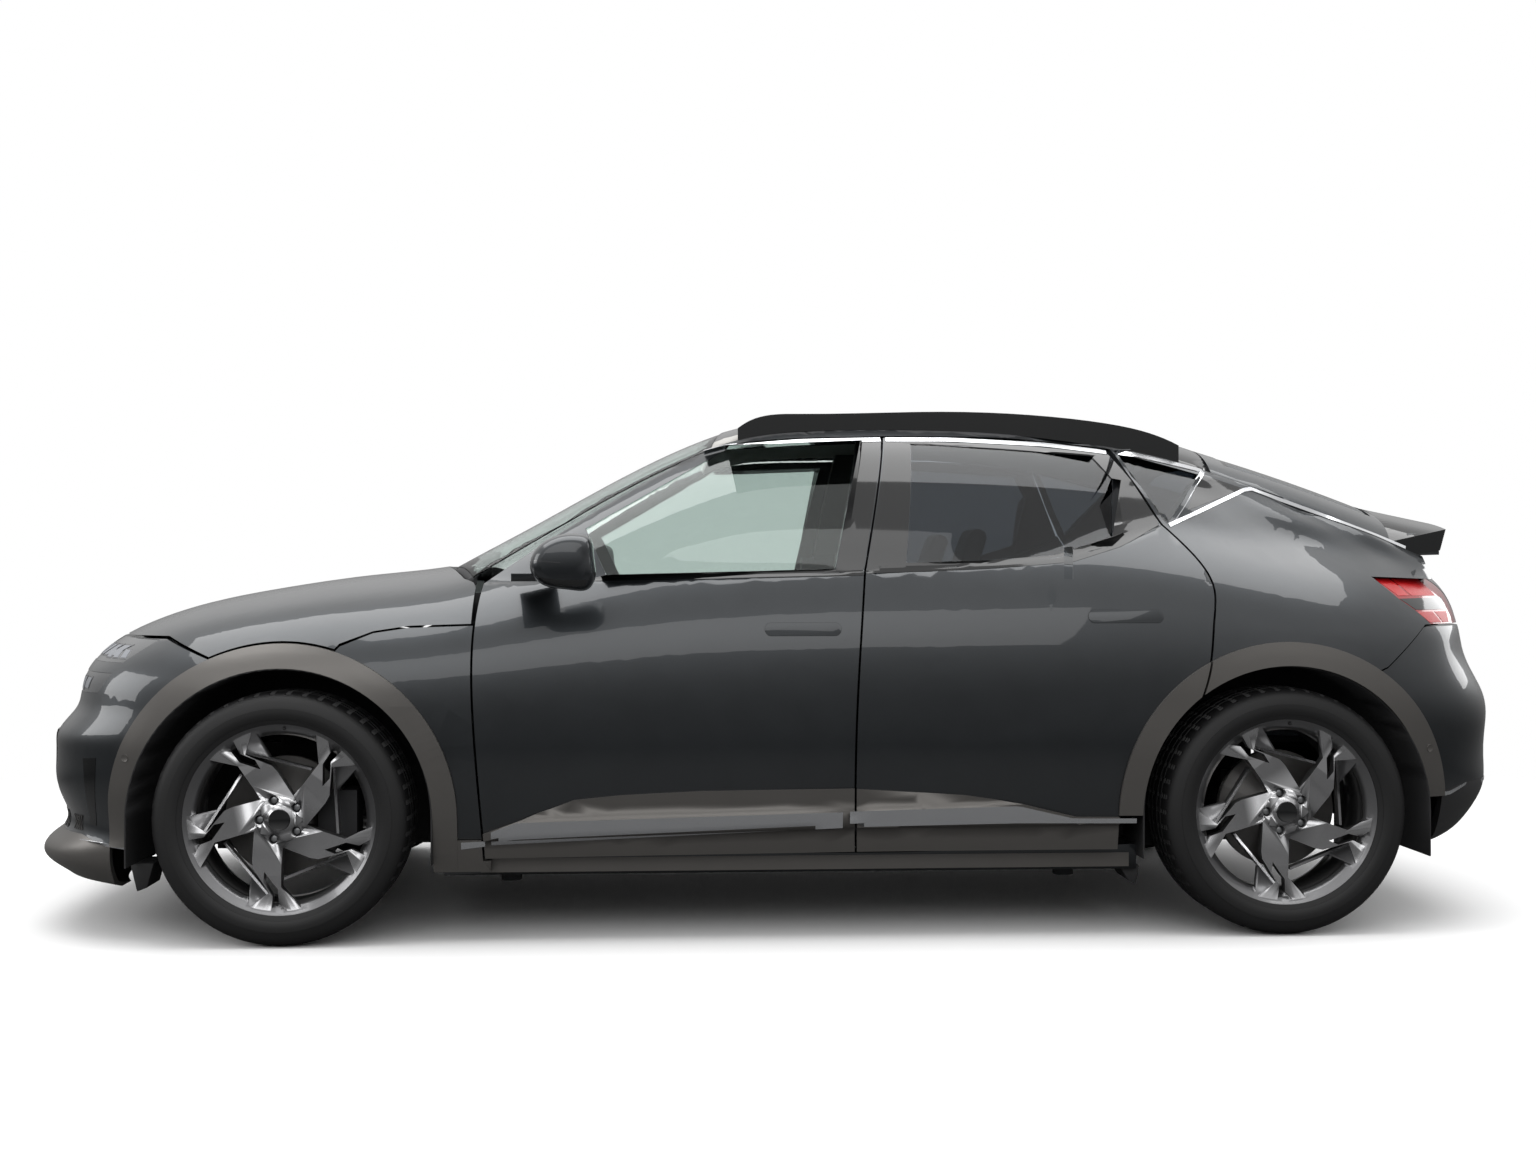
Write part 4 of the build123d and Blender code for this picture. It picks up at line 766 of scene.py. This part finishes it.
@dataclass
class WheelDetail:
    """Wheel nuts, centre cap and valve, and the two finishes of the wheel itself.

    Args:
        circle: Radius of the nut circle in metres.
        face: Distance of the spoke faces from the wheel's middle, in metres.
    """

    circle: float = 0.05715
    face: float = 0.110

    def build(self) -> None:
        """Dresses the four wheels."""
        for side_name, side in SIDES.items():
            for end, axle in (("front", FRONT_AXLE), ("rear", REAR_AXLE)):
                body = f"{end}_wheel_{side_name}"
                centre = Vector((axle, side * WHEEL_Y, WHEEL_Z))
                self.rim(f"{end}_rim_{side_name}", body, centre, side)
                self.nuts(f"{end}_{side_name}", body, centre, side)

    def rim(self, node: str, body: str, centre: Vector, side: int) -> None:
        """Copies the CAD wheel with machined faces and painted windows.

        Args:
            node: The CAD node.
            body: The wheel's body.
            centre: The wheel's middle.
            side: -1 on the left, 1 on the right.
        """
        form = merged(node)
        for face in form.faces:
            middle = face.calc_center_median() - centre
            if face.normal.y * side > 0.9 and middle.y * side > 0.1:
                face.material_index = 1
        piece = finished(form, "dressed_" + node, body, WHEEL_DARK, 30.0, (WHEEL_CUT,))
        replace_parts(piece, node)

    def nuts(self, name: str, body: str, centre: Vector, side: int) -> None:
        """Makes five nuts, the cap and the valve of one wheel.

        Args:
            name: The wheel's place, such as "front_left".
            body: The wheel's body.
            centre: The wheel's middle.
            side: -1 on the left, 1 on the right.
        """
        form = bmesh.new()
        base = side * (self.face - 0.022)
        turn = Matrix.Rotation(math.radians(-90 * side), 4, "X")
        for index in range(5):
            angle = math.radians(36 + 72 * index)
            spot = Vector((math.cos(angle) * self.circle, base, math.sin(angle) * self.circle))
            add_stub(form, centre + spot, turn, 6, (0.0108, 0.0104), 0.018)
            add_stub(form, centre + spot - Vector((0, side * 0.007, 0)), turn, 24, (0.0125, 0.0115), 0.006)
        bevelled(form, 0.0009, sharp=0.8)
        finished(form, f"wheel_nuts_{name}", body, NUT_METAL)
        cap = bmesh.new()
        add_stub(cap, centre + Vector((0, side * (self.face + 0.002), 0)), turn, 64, (0.031, 0.029), 0.008)
        rims = [face for face in cap.faces if len(face.verts) > 10 and face.normal.y * side > 0.5]
        bmesh.ops.inset_region(cap, faces=rims, thickness=0.003, depth=-0.0015)
        bevelled(cap, 0.0006, sharp=0.6)
        finished(cap, f"centre_cap_{name}", body, GLOSS_BLACK)
        valve = bmesh.new()
        spot = centre + Vector((0.012, side * (self.face - 0.014), 0.2565))
        add_stub(valve, spot, turn, 20, (0.0045, 0.004), 0.024)
        bevelled(valve, 0.0008, sharp=0.8)
        finished(valve, f"valve_{name}", body, RUBBER_SEAL)


def quad(along: float, z: float, width: float, height: float, lean: float = 0.0) -> tuple[list, list]:
    """The low and high edge of a small plate of a view, in millimetres."""
    left, right = along - width / 2, along + width / 2
    low, high = z - height / 2, z + height / 2
    return [(left, low), (right, low)], [(left + lean, high), (right + lean, high)]


def joined(forms: list[bmesh.types.BMesh]) -> bmesh.types.BMesh:
    """One form from many, which are freed."""
    whole = bmesh.new()
    for form in forms:
        step = bpy.data.meshes.new("step")
        form.to_mesh(step)
        form.free()
        whole.from_mesh(step)
        bpy.data.meshes.remove(step)
    return whole


@dataclass
class Lamps:
    """Light modules on the lamps' dark housings, in two rows at the front and at the rear.

    Args:
        rows: Name, height, module height and corner places of each front row, in millimetres.
    """

    rows: tuple = (("upper", 832.0, 28.0, (-1984.0, -1952.0, -1920.0)),
                   ("lower", 738.0, 30.0, (-2106.0, -2076.0)))

    def build(self) -> None:
        """Lays the modules of both sides."""
        head, tail = Skin(("headlamps",)), Skin(("tail_lamps",))
        for name, view in VIEWS.items():
            side = SIDES[name]
            for row, z, height, corner in self.rows:
                frames, lights = [], []
                for place in (455, 510, 565, 620, 675):
                    for forms, grow, proud in ((frames, 8, 0.0008), (lights, 0, 0.0016)):
                        low, high = quad(side * place, z, 38 + grow, height + grow)
                        forms.append(laid_sheet(head, low, high, View.FRONT, 4, 3, proud, 0.0008))
                for place in corner:
                    for forms, grow, proud in ((frames, 6, 0.0008), (lights, 0, 0.0016)):
                        low, high = quad(place, z - 8, 20 + grow, height - 6 + grow, 6)
                        forms.append(laid_sheet(head, low, high, view, 3, 3, proud, 0.0008))
                finished(joined(frames), f"lamp_frames_{row}_{name}", "body", LAMP_CHROME)
                finished(joined(lights), f"lamp_lights_{row}_{name}", "body", LED_WHITE)
            self.tail(tail, name, view)

    def tail(self, skin: Skin, name: str, view: View) -> None:
        """Lays the tail lamp's black band and light bars.

        Args:
            skin: The tail lamps.
            name: "left" or "right".
            view: The side that they are seen from.
        """
        lay(f"tail_band_{name}", "body", GLOSS_BLACK, skin, [(1896, 949), (2052, 949)],
            [(1846, 982), (2052, 986)], view, 16, 3, *THIN)
        bars = [([(1858, 991), (1902, 991)], [(1802, 1042), (1858, 1042)]),
                ([(1912, 991), (2020, 991)], [(1868, 1042), (1985, 1042)]),
                ([(1948, 911), (2000, 911)], [(1908, 943), (1972, 943)]),
                ([(2008, 911), (2040, 911)], [(1982, 943), (2044, 943)])]
        forms = [laid_sheet(skin, low, high, view, 8, 3, *THIN) for low, high in bars]
        finished(joined(forms), f"tail_bars_{name}", "body", LED_RED)


@dataclass
class FrontFace:
    """The grille behind its diamond mesh, the lower intake, the air slots and the lip's bright edge.

    Args:
        half: Half the grille's width in millimetres.
        low: Height of its lower edge in millimetres.
        high: Height of its upper edge in millimetres.
        pitch: Step of the mesh in millimetres.
    """

    half: float = 560.0
    low: float = 380.0
    high: float = 588.0
    pitch: float = 44.0

    def build(self) -> None:
        """Makes every piece of the front."""
        skin = Skin(("front_bumper",))
        foot, half, low, high = self.half - 40, self.half, self.low, self.high
        lay("grille_panel", "body", BLACK, skin, [(-foot, low), (foot, low)], [(-half, high), (half, high)],
            View.FRONT, 48, 10, *PLATE)
        self.mesh(skin, "grille_mesh", half - 30, low + 4, high - 4)
        corners = [(-foot, low), (foot, low), (half, high), (-half, high), (-foot, low)]
        edges = [laid_sheet(skin, *band([a, b], 7), View.FRONT, 30, 1, 0.0036, 0.003)
                 for a, b in zip(corners, corners[1:])]
        finished(joined(edges), "grille_frame", "body", GRILLE_METAL)
        lay("lower_intake_panel", "body", BLACK, skin, [(-640, 309), (640, 309)], [(-640, 362), (640, 362)],
            View.FRONT, 48, 4, *PLATE)
        self.mesh(skin, "lower_intake_mesh", 632, 311, 360)
        lip = Skin(("front_lip",))
        for name, view in VIEWS.items():
            lay(f"air_slot_{name}", "body", GLOSS_BLACK, skin, [(-2006, 334), (-1984, 332)],
                [(-2018, 528), (-1972, 532)], view, 4, 14, *PLATE)
            lay(f"corner_mesh_{name}", "body", BLACK, skin, [(-2070, 312), (-2040, 312)],
                [(-2074, 358), (-2036, 358)], view, 5, 5, *PLATE)
            self.corner_bars(skin, name, view)
            lay(f"lip_edge_{name}", "body", SILVER, lip, [(-2020, 290), (-1880, 266)],
                [(-2020, 299), (-1880, 275)], view, 16, 1, 0.0016, 0.0015)

    def mesh(self, skin: Skin, name: str, half: float, low: float, high: float) -> None:
        """Lays crossing diagonal bars over an opening.

        Args:
            skin: The bumper.
            name: The piece's name.
            half: Half the opening's width in millimetres.
            low: Height of its lower edge.
            high: Height of its upper edge.
        """
        forms = []
        rise = high - low
        count = int(2 * half / self.pitch) + int(rise / self.pitch) + 2
        for way in (1, -1):
            for index in range(count):
                start = -half - rise + index * self.pitch
                near, far = max(-half, start), min(half, start + rise)
                if far - near < 6:
                    continue
                ends = [(way * near, low + near - start), (way * far, low + far - start)]
                forms.append(laid_sheet(skin, *band(ends, 6), View.FRONT, 10, 1, 0.003, 0.002))
        finished(joined(forms), name, "body", GRILLE_METAL)

    def corner_bars(self, skin: Skin, name: str, view: View) -> None:
        """Lays a few diagonal bars over the intake's corner.

        Args:
            skin: The bumper.
            name: "left" or "right".
            view: The side that it is seen from.
        """
        forms = []
        for way in (1, -1):
            for middle in (-2064, -2055, -2046):
                ends = [(middle - 10 * way, 314), (middle + 10 * way, 356)]
                forms.append(laid_sheet(skin, *band(ends, 3), view, 4, 1, 0.0024, 0.0015))
        finished(joined(forms), f"corner_bars_{name}", "body", GRILLE_METAL)


@dataclass
class SmallTrim:
    """Sill panels and strips, parking sensors, the rear bright line, the mirrors' parts and the air flaps.

    Args:
        strips: Carrying node, body, low edge and high edge of each part of the silver sill strip.
        sensors: Carrying node, X and Z of each sensor.
    """

    strips: tuple = (
        ("front_arch_trims", "body", ((-930, 272), (-862, 280)), ((-930, 292), (-862, 295))),
        ("front_door_cladding", "front_door", ((-845, 283), (160, 326)),
         ((-845, 322), (-774, 348), (160, 372))),
        ("rear_door_cladding", "rear_door", ((180, 328), (670, 336), (1015, 334)),
         ((180, 374), (670, 386), (830, 349), (1015, 348))),
    )
    sensors: tuple = (("front_arch_trims", -1874.0, 537.0), ("rear_arch_trims", 1896.0, 545.0))

    def build(self) -> None:
        """Makes the pieces of both sides."""
        body, tail = Skin(("body_sides",)), Skin(("rear_valance",))
        for name, view in VIEWS.items():
            lay(f"sill_panel_{name}", "body", SATIN, body, [(-880, 197), (1012, 197)],
                [(-880, 238), (1012, 238)], view, 40, 2, *PLATE)
            for node, carrier, low, high in self.strips:
                tag = "" if carrier == "body" else "_" + name
                lay(f"silver_strip_{node}_{name}", carrier + tag, SILVER, Skin((node + tag,)), low, high,
                    view, 40, 4, *PLATE)
            for node, x, z in self.sensors:
                self.sensor(Skin((node,)), f"{node}_{name}", x, z, view)
            lay(f"rear_bright_line_{name}", "body", SILVER, tail, [(1893, 388), (1990, 400), (2052, 424)],
                [(1893, 397), (1990, 411), (2055, 431)], view, 20, 1, 0.002, 0.0019)
            self.mirror(name, view)
            self.flaps(name, view)
        lay("rear_bright_line_middle", "body", SILVER, tail, [(-700, 421), (700, 421)],
            [(-700, 430), (700, 430)], View.REAR, 40, 1, 0.002, 0.0019)

    def sensor(self, skin: Skin, name: str, x: float, z: float, view: View) -> None:
        """Makes one round sensor with its ring.

        Args:
            skin: What carries it.
            name: Its place.
            x: Place along the car, in millimetres.
            z: Height, in millimetres.
            view: The side that it is seen from.
        """
        point, normal = skin.at(x * MM, z * MM, view)
        turn = normal.to_track_quat("Z", "Y").to_matrix().to_4x4()
        form = bmesh.new()
        add_stub(form, point, turn, 36, (0.0115, 0.0105), 0.003)
        cap = [face for face in form.faces if len(face.verts) > 10 and face.normal.dot(normal) > 0.9]
        bmesh.ops.inset_region(form, faces=cap, thickness=0.0022, depth=-0.0009)
        finished(form, f"sensor_{name}", "body", SATIN)

    def mirror(self, name: str, view: View) -> None:
        """Lays the mirror's glass, its lower band and its repeater lamp.

        Args:
            name: "left" or "right".
            view: The side that it is seen from.
        """
        door, side = f"front_door_{name}", SIDES[name]
        skin = Skin((f"mirror_{name}",))
        low, high = quad(side * 985, 1088, 108, 92)
        lay(f"mirror_glass_{name}", door, MIRROR_GLASS, skin, low, high, View.REAR, 12, 10, 0.0008, 0.0007)
        lay(f"mirror_band_{name}", door, GLOSS_BLACK, skin, [(-712, 1034), (-640, 1022), (-572, 1024)],
            [(-718, 1050), (-640, 1040), (-566, 1040)], view, 16, 3, *THIN)
        lay(f"mirror_repeater_{name}", door, LAMP_LENS, skin, [(-722, 1092), (-640, 1086)],
            [(-722, 1096), (-640, 1090)], view, 10, 1, 0.0012, 0.001)

    def flaps(self, name: str, view: View) -> None:
        """Makes the small air flaps by the wheels.

        Args:
            name: "left" or "right".
            view: The side that they are seen from.
        """
        outlines = {"rear": [(983, 206), (1049, 196), (1037, 139), (1013, 154)],
                    "front": [(-1876, 230), (-1857, 149), (-1828, 160), (-1809, 230)]}
        for end, outline in outlines.items():
            form = bmesh.new()
            verts = [form.verts.new(view.place(x * MM, z * MM, 0.83)) for x, z in outline]
            face = form.faces.new(verts)
            moved = bmesh.ops.extrude_face_region(form, geom=[face])["geom"]
            corners = [vert for vert in moved if isinstance(vert, bmesh.types.BMVert)]
            bmesh.ops.translate(form, verts=corners, vec=-view.out * 0.13)
            bmesh.ops.recalc_face_normals(form, faces=form.faces)
            bevelled(form, 0.003)
            finished(form, f"air_flap_{end}_{name}", "body", BLACK)


@dataclass
class Seats:
    """Padded cushions in place of the plain CAD seats, each swollen by a short cloth simulation.

    Args:
        voxel: Edge of the cloth's mesh in metres.
        swell: The furthest that a point may move, in metres.
        steps: Frames of the simulation.
        seat_y: Distance of a front seat from the car's middle, in metres.
        seat_pivot: X and Z of the front seats' hinge line.
        seat_lean: Lean of their backs in degrees.
        bench_pivot: X and Z of the rear back's hinge line.
        bench_lean: Its lean in degrees.
    """

    voxel: float = 0.013
    swell: float = 0.022
    steps: int = 14
    seat_y: float = 0.38
    seat_pivot: tuple[float, float] = (0.39, 0.52)
    seat_lean: float = 20.0
    bench_pivot: tuple[float, float] = (1.185, 0.575)
    bench_lean: float = 24.0

    def build(self) -> None:
        """Makes the front seats and the rear seat."""
        lean, rear_lean = math.radians(self.seat_lean), math.radians(self.bench_lean)
        plan = {
            "cushion": ((0.14, 0, 0.497), (0.50, 0.29, 0.085), 0.0),
            "cushion_bolster": ((0.13, 0.2, 0.503), (0.47, 0.08, 0.098), 0.0),
            "back": ((0.39, 0, 0.80), (0.075, 0.28, 0.48), lean),
            "back_bolster": ((0.375, 0.19, 0.78), (0.09, 0.07, 0.44), lean),
            "head": ((0.395, 0, 1.172), (0.055, 0.22, 0.14), lean),
        }
        rear_plan = {
            "bench": ((0.885, 0, 0.50), (0.24, 0.35, 0.075), 0.0),
            "back": ((1.185, 0, 0.81), (0.065, 0.35, 0.40), rear_lean),
            "head": ((1.185, 0, 1.06), (0.05, 0.2, 0.09), rear_lean),
        }
        made = {kind: self.pad(kind, *values, self.seat_pivot) for kind, values in plan.items()}
        copies = [("cushion", 1), ("cushion_bolster", 1), ("cushion_bolster", -1), ("back", 1),
                  ("back_bolster", 1), ("back_bolster", -1), ("head", 1)]
        for name, side in SIDES.items():
            for index, (kind, flip) in enumerate(copies):
                self.place(made[kind], f"seat_{kind}_{index}_{name}", side * self.seat_y, flip)
        rear = {kind: self.pad("rear_" + kind, *values, self.bench_pivot)
                for kind, values in rear_plan.items()}
        for index, y in enumerate((-0.4, 0.0, 0.4)):
            for kind, mesh in rear.items():
                self.place(mesh, f"rear_seat_{kind}_{index}", y, 1)
        for mesh in (*made.values(), *rear.values()):
            bpy.data.meshes.remove(mesh)
        self.frames()

    def pad(
        self, name: str, centre: tuple[float, float, float], size: tuple[float, float, float], lean: float,
        pivot: tuple[float, float],
    ) -> bpy.types.Mesh:
        """Swells a block into a crowned pad.

        Args:
            name: The pad's kind.
            centre: Its middle, upright.
            size: Its size in metres.
            lean: Its turn to the rear about the pivot, in radians.
            pivot: X and Z of the seat's hinge line.

        Returns:
            The pad's mesh.
        """
        form = bmesh.new()
        add_box(form, (0, 0, 0), size)
        bevelled(form, 0.02, 3)
        mesh = bpy.data.meshes.new("pad_" + name)
        form.to_mesh(mesh)
        form.free()
        block = linked(mesh, "pad_" + name)
        remesh = block.modifiers.new("even", "REMESH")
        remesh.mode = "VOXEL"
        remesh.voxel_size = self.voxel
        even = self.applied(block)
        start = [vert.co.copy() for vert in even.vertices]
        block.modifiers.clear()
        block.data = even
        cloth = block.modifiers.new("swell", "CLOTH")
        cloth.settings.use_pressure = True
        cloth.settings.uniform_pressure_force = 4.0
        cloth.settings.effector_weights.gravity = 0.0
        for step in range(1, self.steps + 1):
            bpy.context.scene.frame_set(step)
        swollen = self.applied(block)
        for vert, old in zip(swollen.vertices, start):
            move = vert.co - old
            if move.length > self.swell:
                vert.co = old + move.normalized() * self.swell
        even = swollen
        bpy.data.objects.remove(block)
        turn = (Matrix.Translation((pivot[0], 0, pivot[1])) @ Matrix.Rotation(lean, 4, "Y")
                @ Matrix.Translation((centre[0] - pivot[0], centre[1], centre[2] - pivot[1])))
        even.transform(turn)
        return even

    @staticmethod
    def applied(block: bpy.types.Object) -> bpy.types.Mesh:
        """A mesh with an object's modifiers applied."""
        graph = bpy.context.evaluated_depsgraph_get()
        return bpy.data.meshes.new_from_object(block.evaluated_get(graph), depsgraph=graph)

    def place(self, mesh: bpy.types.Mesh, name: str, y: float, flip: int) -> None:
        """Puts a copy of a pad at its seat.

        Args:
            mesh: The pad.
            name: The piece's name.
            y: Its seat's distance from the car's middle, in metres.
            flip: -1 mirrors it across the seat's middle.
        """
        form = bmesh.new()
        form.from_mesh(mesh)
        if flip < 0:
            bmesh.ops.scale(form, verts=form.verts, vec=(1, -1, 1))
            bmesh.ops.reverse_faces(form, faces=form.faces)
        bmesh.ops.translate(form, verts=form.verts, vec=(0, y, 0))
        piece = finished(form, name, "body", CLOTH, 80.0)

    def frames(self) -> None:
        """Makes the seats' bases and back shells, which stand for the CAD seats."""
        form = bmesh.new()
        sides = (-self.seat_y, self.seat_y)
        for size, height in (((0.38, 0.36, 0.135), 0.37), ((0.5, 0.44, 0.05), 0.455)):
            for y in sides:
                add_box(form, (0.135, y, height), size)
        turn = leaned(self.seat_pivot, math.radians(self.seat_lean))
        for y in sides:
            add_box(form, (0.425, y, 0.77), (0.035, 0.42, 0.5), turn)
            add_box(form, (0.392, y, 1.06), (0.014, 0.1, 0.12), turn)
        self.shells(form, "front_seat_shells", "front_seats")
        form = bmesh.new()
        add_box(form, (0.87, 0, 0.38), (0.2, 1.16, 0.155))
        turn = leaned(self.bench_pivot, math.radians(self.bench_lean))
        add_box(form, (1.222, 0, 0.80), (0.03, 1.16, 0.44), turn)
        add_box(form, (1.09, 0, 0.6), (0.18, 1.16, 0.07))
        self.shells(form, "rear_seat_shells", "rear_seat")

    @staticmethod
    def shells(form: bmesh.types.BMesh, name: str, node: str) -> None:
        """Rounds and finishes a seat's hard parts.

        Args:
            form: The boxes.
            name: The piece's name.
            node: The CAD node that it stands for.
        """
        bevelled(form, 0.006)
        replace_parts(finished(form, name, "body", DASH), node)


@dataclass
class Cabin:
    """The wide display on the dashboard and the floor mats."""

    def build(self) -> None:
        """Makes the cabin's pieces."""
        form = bmesh.new()
        spot = Matrix.Translation((-0.66, -0.17, 1.02)) @ Matrix.Rotation(math.radians(-14), 4, "Y")
        add_box(form, (0, 0, 0), (0.018, 0.68, 0.125), spot)
        bevelled(form, 0.004, 3)
        for face in form.faces:
            if face.normal.x > 0.8:
                face.material_index = 1
        finished(form, "wide_display", "body", DASH, 35.0, (SCREEN,))
        form = bmesh.new()
        for x, y in ((-0.55, -0.4), (-0.55, 0.4), (0.6, -0.4), (0.6, 0.4)):
            add_box(form, (x, y, 0.306), (0.5, 0.44, 0.01))
        bevelled(form, 0.003)
        finished(form, "floor_mats", "body", CARPET)


@dataclass
class Studio:
    """The floor, the soft lights, the plain surroundings and the photograph's camera.

    Args:
        focal: The lens in millimetres on a 36 mm wide sensor.
        eye: The camera's place.
        yaw: Its turn to the car's rear, in degrees.
    """

    focal: float = 40.97
    eye: tuple[float, float, float] = (-0.3495, -5.92, 1.051)
    yaw: float = 3.36

    def build(self) -> None:
        """Sets up everything that isn't part of the car."""
        self.camera()
        self.floor()
        self.surroundings()
        self.lights()
        bpy.context.scene.view_settings.view_transform = "Standard"

    def camera(self) -> None:
        """Puts the camera where the photograph was taken."""
        lens = bpy.data.cameras.new("camera")
        lens.lens = self.focal
        lens.sensor_width = 36.0
        camera = bpy.data.objects.new("camera", lens)
        camera.location = self.eye
        camera.rotation_euler = (math.radians(90), 0, math.radians(-self.yaw))
        bpy.context.scene.collection.objects.link(camera)
        bpy.context.scene.camera = camera

    def floor(self) -> None:
        """Lays the pale floor, which is darker in reflections and fades out round the car."""
        form = bmesh.new()
        bmesh.ops.create_grid(form, x_segments=2, y_segments=2, size=40.0)
        mesh = bpy.data.meshes.new("floor")
        form.to_mesh(mesh)
        form.free()
        material = bpy.data.materials.new("pale floor")
        nodes = Nodes(material)
        seen = nodes.add("LightPath", output="Is Camera Ray")
        shades = {"A": (0.1, 0.1, 0.1, 1), "B": (0.97, 0.97, 0.97, 1), "Factor": seen}
        tint = nodes.add("Mix", shades, "Result", ("data_type", "RGBA"))
        place = nodes.add("TexCoord", output="Object")
        distance = nodes.add("VectorMath", {0: place}, "Value", ("operation", "LENGTH"))
        reach = {"From Min": 2.5, "From Max": 5.2, "To Min": 1.0, "To Max": 0.0, "Value": distance}
        fade = nodes.add("MapRange", reach, "Result", ("interpolation_type", "SMOOTHSTEP"))
        nodes.set(nodes.shader, {"Roughness": 0.9, "Base Color": tint, "Alpha": fade})
        mesh.materials.append(material)
        linked(mesh, "floor_sheet")

    def surroundings(self) -> None:
        """Makes the white background and the soft grey that lights the car."""
        world = bpy.data.worlds.new("studio")
        bpy.context.scene.world = world
        nodes = Nodes(world, "BACKGROUND")
        path = {0: nodes.add("LightPath", output="Is Camera Ray"),
                1: nodes.add("LightPath", output="Is Transmission Ray")}
        seen = nodes.add("Math", path, mode=("operation", "MAXIMUM"))
        way = nodes.add("TexCoord", output="Generated")
        height = nodes.add("SeparateXYZ", {0: way}, "Z")
        sky = {"From Min": -0.15, "From Max": 0.55, "To Min": 0.06, "To Max": 0.85, "Value": height}
        lit = nodes.add("MapRange", sky, "Result")
        level = nodes.add("Math", {0: seen, 1: lit}, mode=("operation", "MAXIMUM"))
        nodes.set(nodes.shader, {"Strength": level, "Color": (1, 1, 1, 1)})

    def lights(self) -> None:
        """Hangs the soft lights."""
        plan = [("overhead", (0, -0.5, 5.2), (0, 0, 0), (9, 4), 300),
                ("side", (-1.5, -7.5, 4.2), (0, 0, 0.8), (8, 3), 90),
                ("front", (-7.5, -1.5, 3.2), (0, 0, 0.8), (4, 3), 110),
                ("rear", (8, 2.5, 3.5), (0, 0, 0.8), (4, 3), 110)]
        for name, place, aim, size, power in plan:
            light = bpy.data.lights.new(name, "AREA")
            light.shape = "RECTANGLE"
            light.size, light.size_y = size
            light.energy = power
            lamp = bpy.data.objects.new(name, light)
            lamp.location = place
            way = Vector(aim) - Vector(place)
            lamp.rotation_euler = way.to_track_quat("-Z", "Y").to_euler()
            bpy.context.scene.collection.objects.link(lamp)


NODES_BY_FINISH = (
    (PAINT, "body_sides front_bumper rear_bumper front_fenders hood tailgate front_door rear_door mirror"),
    (GLOSS_BLACK, "roof_panel roof_rails spoiler"),
    (CLEAR_GLASS, "windshield front_door_glass"),
    (PRIVACY_GLASS, "rear_door_glass quarter_glass rear_glass"),
    (LAMP_LENS, "headlamps"),
    (TAIL_LENS, "tail_lamps"),
    (SATIN, "front_arch_trims rear_arch_trims front_door_cladding rear_door_cladding front_lip"),
    (BLACK, "wheel_liners rear_valance"),
    (CHASSIS, "floor bulkhead front_structure front_subframe rear_subframe front_knuckle"),
    (BATTERY, "battery_pack"),
    (IRON, "front_brake_disc rear_brake_disc"),
    (DASH, "dashboard console steering_wheel"),
)
INNER_FINISHES = {"front_door": DASH, "rear_door": DASH, "body_sides": DASH, "tailgate": DASH,
                  "roof_panel": HEADLINER}
PLAIN_NODES = DressedNodes({node: finish for finish, names in NODES_BY_FINISH for node in names.split()},
                           INNER_FINISHES)


def main() -> None:
    """Builds every sub-assembly in order."""
    logging.basicConfig(level=logging.INFO, format="%(message)s")
    parts = [("dressed nodes", PLAIN_NODES), ("window line", WindowLine()), ("door handles", DoorHandle()),
             ("tyres", TyreSet()), ("wheels", WheelDetail()), ("lamps", Lamps()), ("front face", FrontFace()),
             ("small trim", SmallTrim()), ("seats", Seats()), ("cabin", Cabin()), ("studio", Studio())]
    for name, part in parts:
        part.build()
        LOG.info("built %s", name)


if __name__ == "__main__":
    main()
